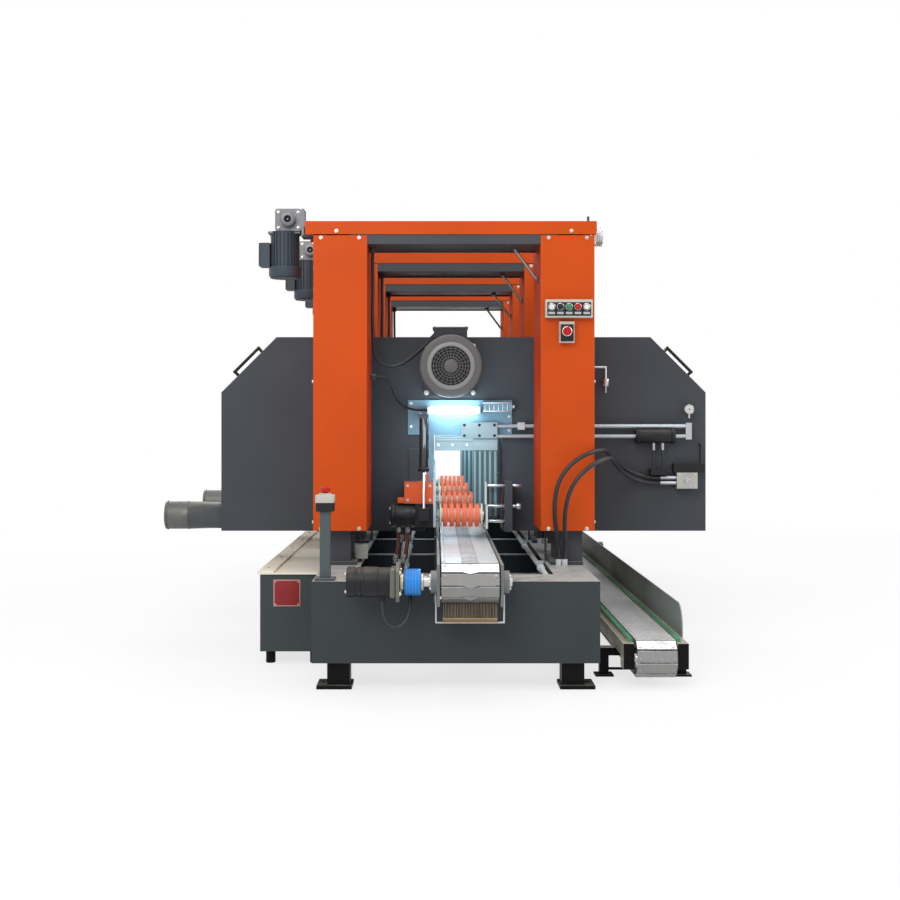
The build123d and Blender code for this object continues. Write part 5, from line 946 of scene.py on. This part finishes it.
for stand in chain_turns(x=839, front=-2271, back=2271, z=120, radius=75, pitch=slat_pitch):
    rivets(bm, stand, ((-70, -12), (-18, -12), (18, -12), (70, -12)), radius=5, height=2.0)
make(bm, "return_slat_rivets", slat_steel, "frame")
places = [(981, y, 150) for y in (-1860, -1240, -620, 0, 620, 1240, 1860)]
bolts("guard_bolts", places, to_right, m8, bolt_zinc, "frame")

# Trunk along the left side: sheet steel box under a dusty loose lid with a raised strip.
# Screwed panels close its long side, and a framed red plate is riveted to its front end.
trunk_green = paint("trunk_green", (0.044, 0.054, 0.055), 0.5, dust=0.5, rubbed=0.5)
lid_beige = paint("lid_beige", (0.88, 0.82, 0.67), 0.62, dust=0.8, dust_colour=(0.88, 0.82, 0.68), wear=1.0,
                  rubbed=0.6)
plate_red = paint("plate_red", (0.270, 0.020, 0.022), 0.35, wear=1.0)
plate_rim = paint("plate_rim", (0.52, 0.30, 0.27), 0.4, wear=1.0)
dress("side_trunk", trunk_green, lid_beige, foot_black, edge=0.002)
zone("side_trunk", lid_beige, (-920, -1900, 411.9), (-590, 2200, 440))
zone("side_trunk", foot_black, (-920, -1900, -1), (-590, 2200, 56.9))
slabs("trunk_plate_rim", [((-830, -1793, 265), (-706, -1790, 388))], plate_rim, "frame", edge=1.2)
plate_front, rivet = -1794.2, 4
slabs("trunk_plate", [((-825, plate_front, 270), (-711, -1792, 383))], plate_red, "frame", edge=0.6)
places = [(x, plate_front, z) for x in (-820, -716) for z in (275, 378)]
bolts("trunk_plate_rivets", places, to_front, rivet, bolt_zinc, "frame")
trunk_side, latch_face, panel_face = -892, -899, -894.5
latches = []
for y in (-1400, -500, 400, 1300):
    latches.append(((latch_face, y - 14, 345), (trunk_side, y + 14, 411)))
    latches.append(((-903, y - 9, 372), (latch_face, y + 9, 408)))
slabs("trunk_latches", latches, zinc, "frame", edge=1.5)
panel_starts, panel_long, panel_screw = (-1745, -785, 175, 1135), 900, 9
panels = [((panel_face, y, 90), (trunk_side, y + panel_long, 335)) for y in panel_starts]
slabs("trunk_side_panels", panels, trunk_green, "frame", edge=1)
places = [(panel_face, y + step, z) for y in panel_starts for step in (25, 450, 875) for z in (112, 313)]
bolts("trunk_panel_screws", places, to_left, panel_screw, bolt_zinc, "frame")
places = [(-865, y, 428) for y in range(-1700, 2100, 475)]
bolts("trunk_lid_screws", places, upwards, m6, bolt_zinc, "frame")

# Controls: an emergency stop on a grey post, and a push-button station with a selector on the right
# column. Their boxes are sheet steel; faces are black, with bare pale plates under the buttons.
stop_red = paint("stop_red", (0.520, 0.012, 0.010), 0.28)
post_grey = paint("post_grey", (0.075, 0.092, 0.098), 0.42, dust=0.3, rubbed=0.5)
station_pale = paint("station_pale", (0.52, 0.51, 0.45), 0.45, wear=0.8)
lens_white = paint("lens_white", (0.78, 0.77, 0.70), 0.22)
cap_green = paint("cap_green", (0.060, 0.210, 0.120), 0.3)
cap_black = paint("cap_black", (0.020, 0.020, 0.024), 0.3)
dress("estop_station", black_paint, post_grey, station_pale, edge=0.0015)
zone("estop_station", post_grey, (-650, -2400, 440), (-450, -2200, 737.9))
zone("estop_station", station_pale, (-650, -2400, 806.1), (-450, -2200, 830))
stop_front, lid_screw = -2324, 5
slabs("estop_lid", [((-587, stop_front, 774), (-509, -2252, 808))], station_pale, "frame", edge=3)
places = [(x, stop_front, z) for x in (-580, -516) for z in (781, 801)]
bolts("estop_lid_screws", places, to_front, lid_screw, bolt_zinc, "frame")
dress("estop_button", stop_red, edge=0.001)
dress("control_panel", station_pale, lens_white, edge=0.0015)
zone("control_panel", lens_white, (430, -1850, 1620), (465, -1824.5, 1660))
zone("control_panel", lens_white, (590, -1850, 1620), (625, -1824.5, 1660))
station_front, station_back, button_z, button_xs = -1826.5, -1823, 1640, (447, 487, 527, 567, 607)
slabs("panel_face", [((427, station_front, 1599), (627, station_back, 1661))], black_paint, "frame", edge=1)
legends = [((x - 15, -1827.5, 1606), (x + 15, -1826, 1617)) for x in button_xs]
slabs("panel_legends", legends, pale_grey, "frame", edge=0.4)
for x in button_xs:
    turned(f"panel_bezel_{x}", [(0, 14), (0, 17), (2, 17.5), (4, 16.5), (5, 15), (4, 14)],
           (x, station_front, button_z), to_front, chrome, "frame", segments=20)
slabs("selector_face", [((488, station_front, 1483), (547, station_back, 1560))], black_paint, "frame",
      edge=1)
turned("selector_bezel", [(0, 17), (0, 22), (2, 23), (4, 21), (5, 18)], (517.5, station_front, 1528),
       to_front, chrome, "frame")
for number, finish in ((1, cap_black), (2, cap_green), (3, stop_red)):
    dress(f"push_button_{number}", finish, edge=0.001)
dress("mode_selector", stop_red, edge=0.001)

# Junction box of the stop circuit: a small box of pale sheet steel with a flat lid.
# It is bolted to the foot of the first left post, and four screws hold its lid.
box_front, box_screw = -1628, 6
junction_box = [((-463.5, -1625, 470), (-408, -1565, 530)), ((-463, box_front, 466), (-405, -1624, 534))]
slabs("junction_box", junction_box, station_pale, "frame", edge=1.5)
places = [(x, box_front, z) for x in (-456, -412) for z in (473, 527)]
bolts("junction_box_screws", places, to_front, box_screw, bolt_zinc, "frame")

# Hydraulic pipes inside the base: zinc-plated steel tube, bent and joined with tees.
# Clips hold the runs to the base; the hoses of the heads are screwed to the tees.
pipe_silver = paint("pipe_silver", (0.62, 0.65, 0.65), 0.35, dust=0.4, wear=1.0)
dress("hydraulic_pipes", pipe_silver, edge=0.001)
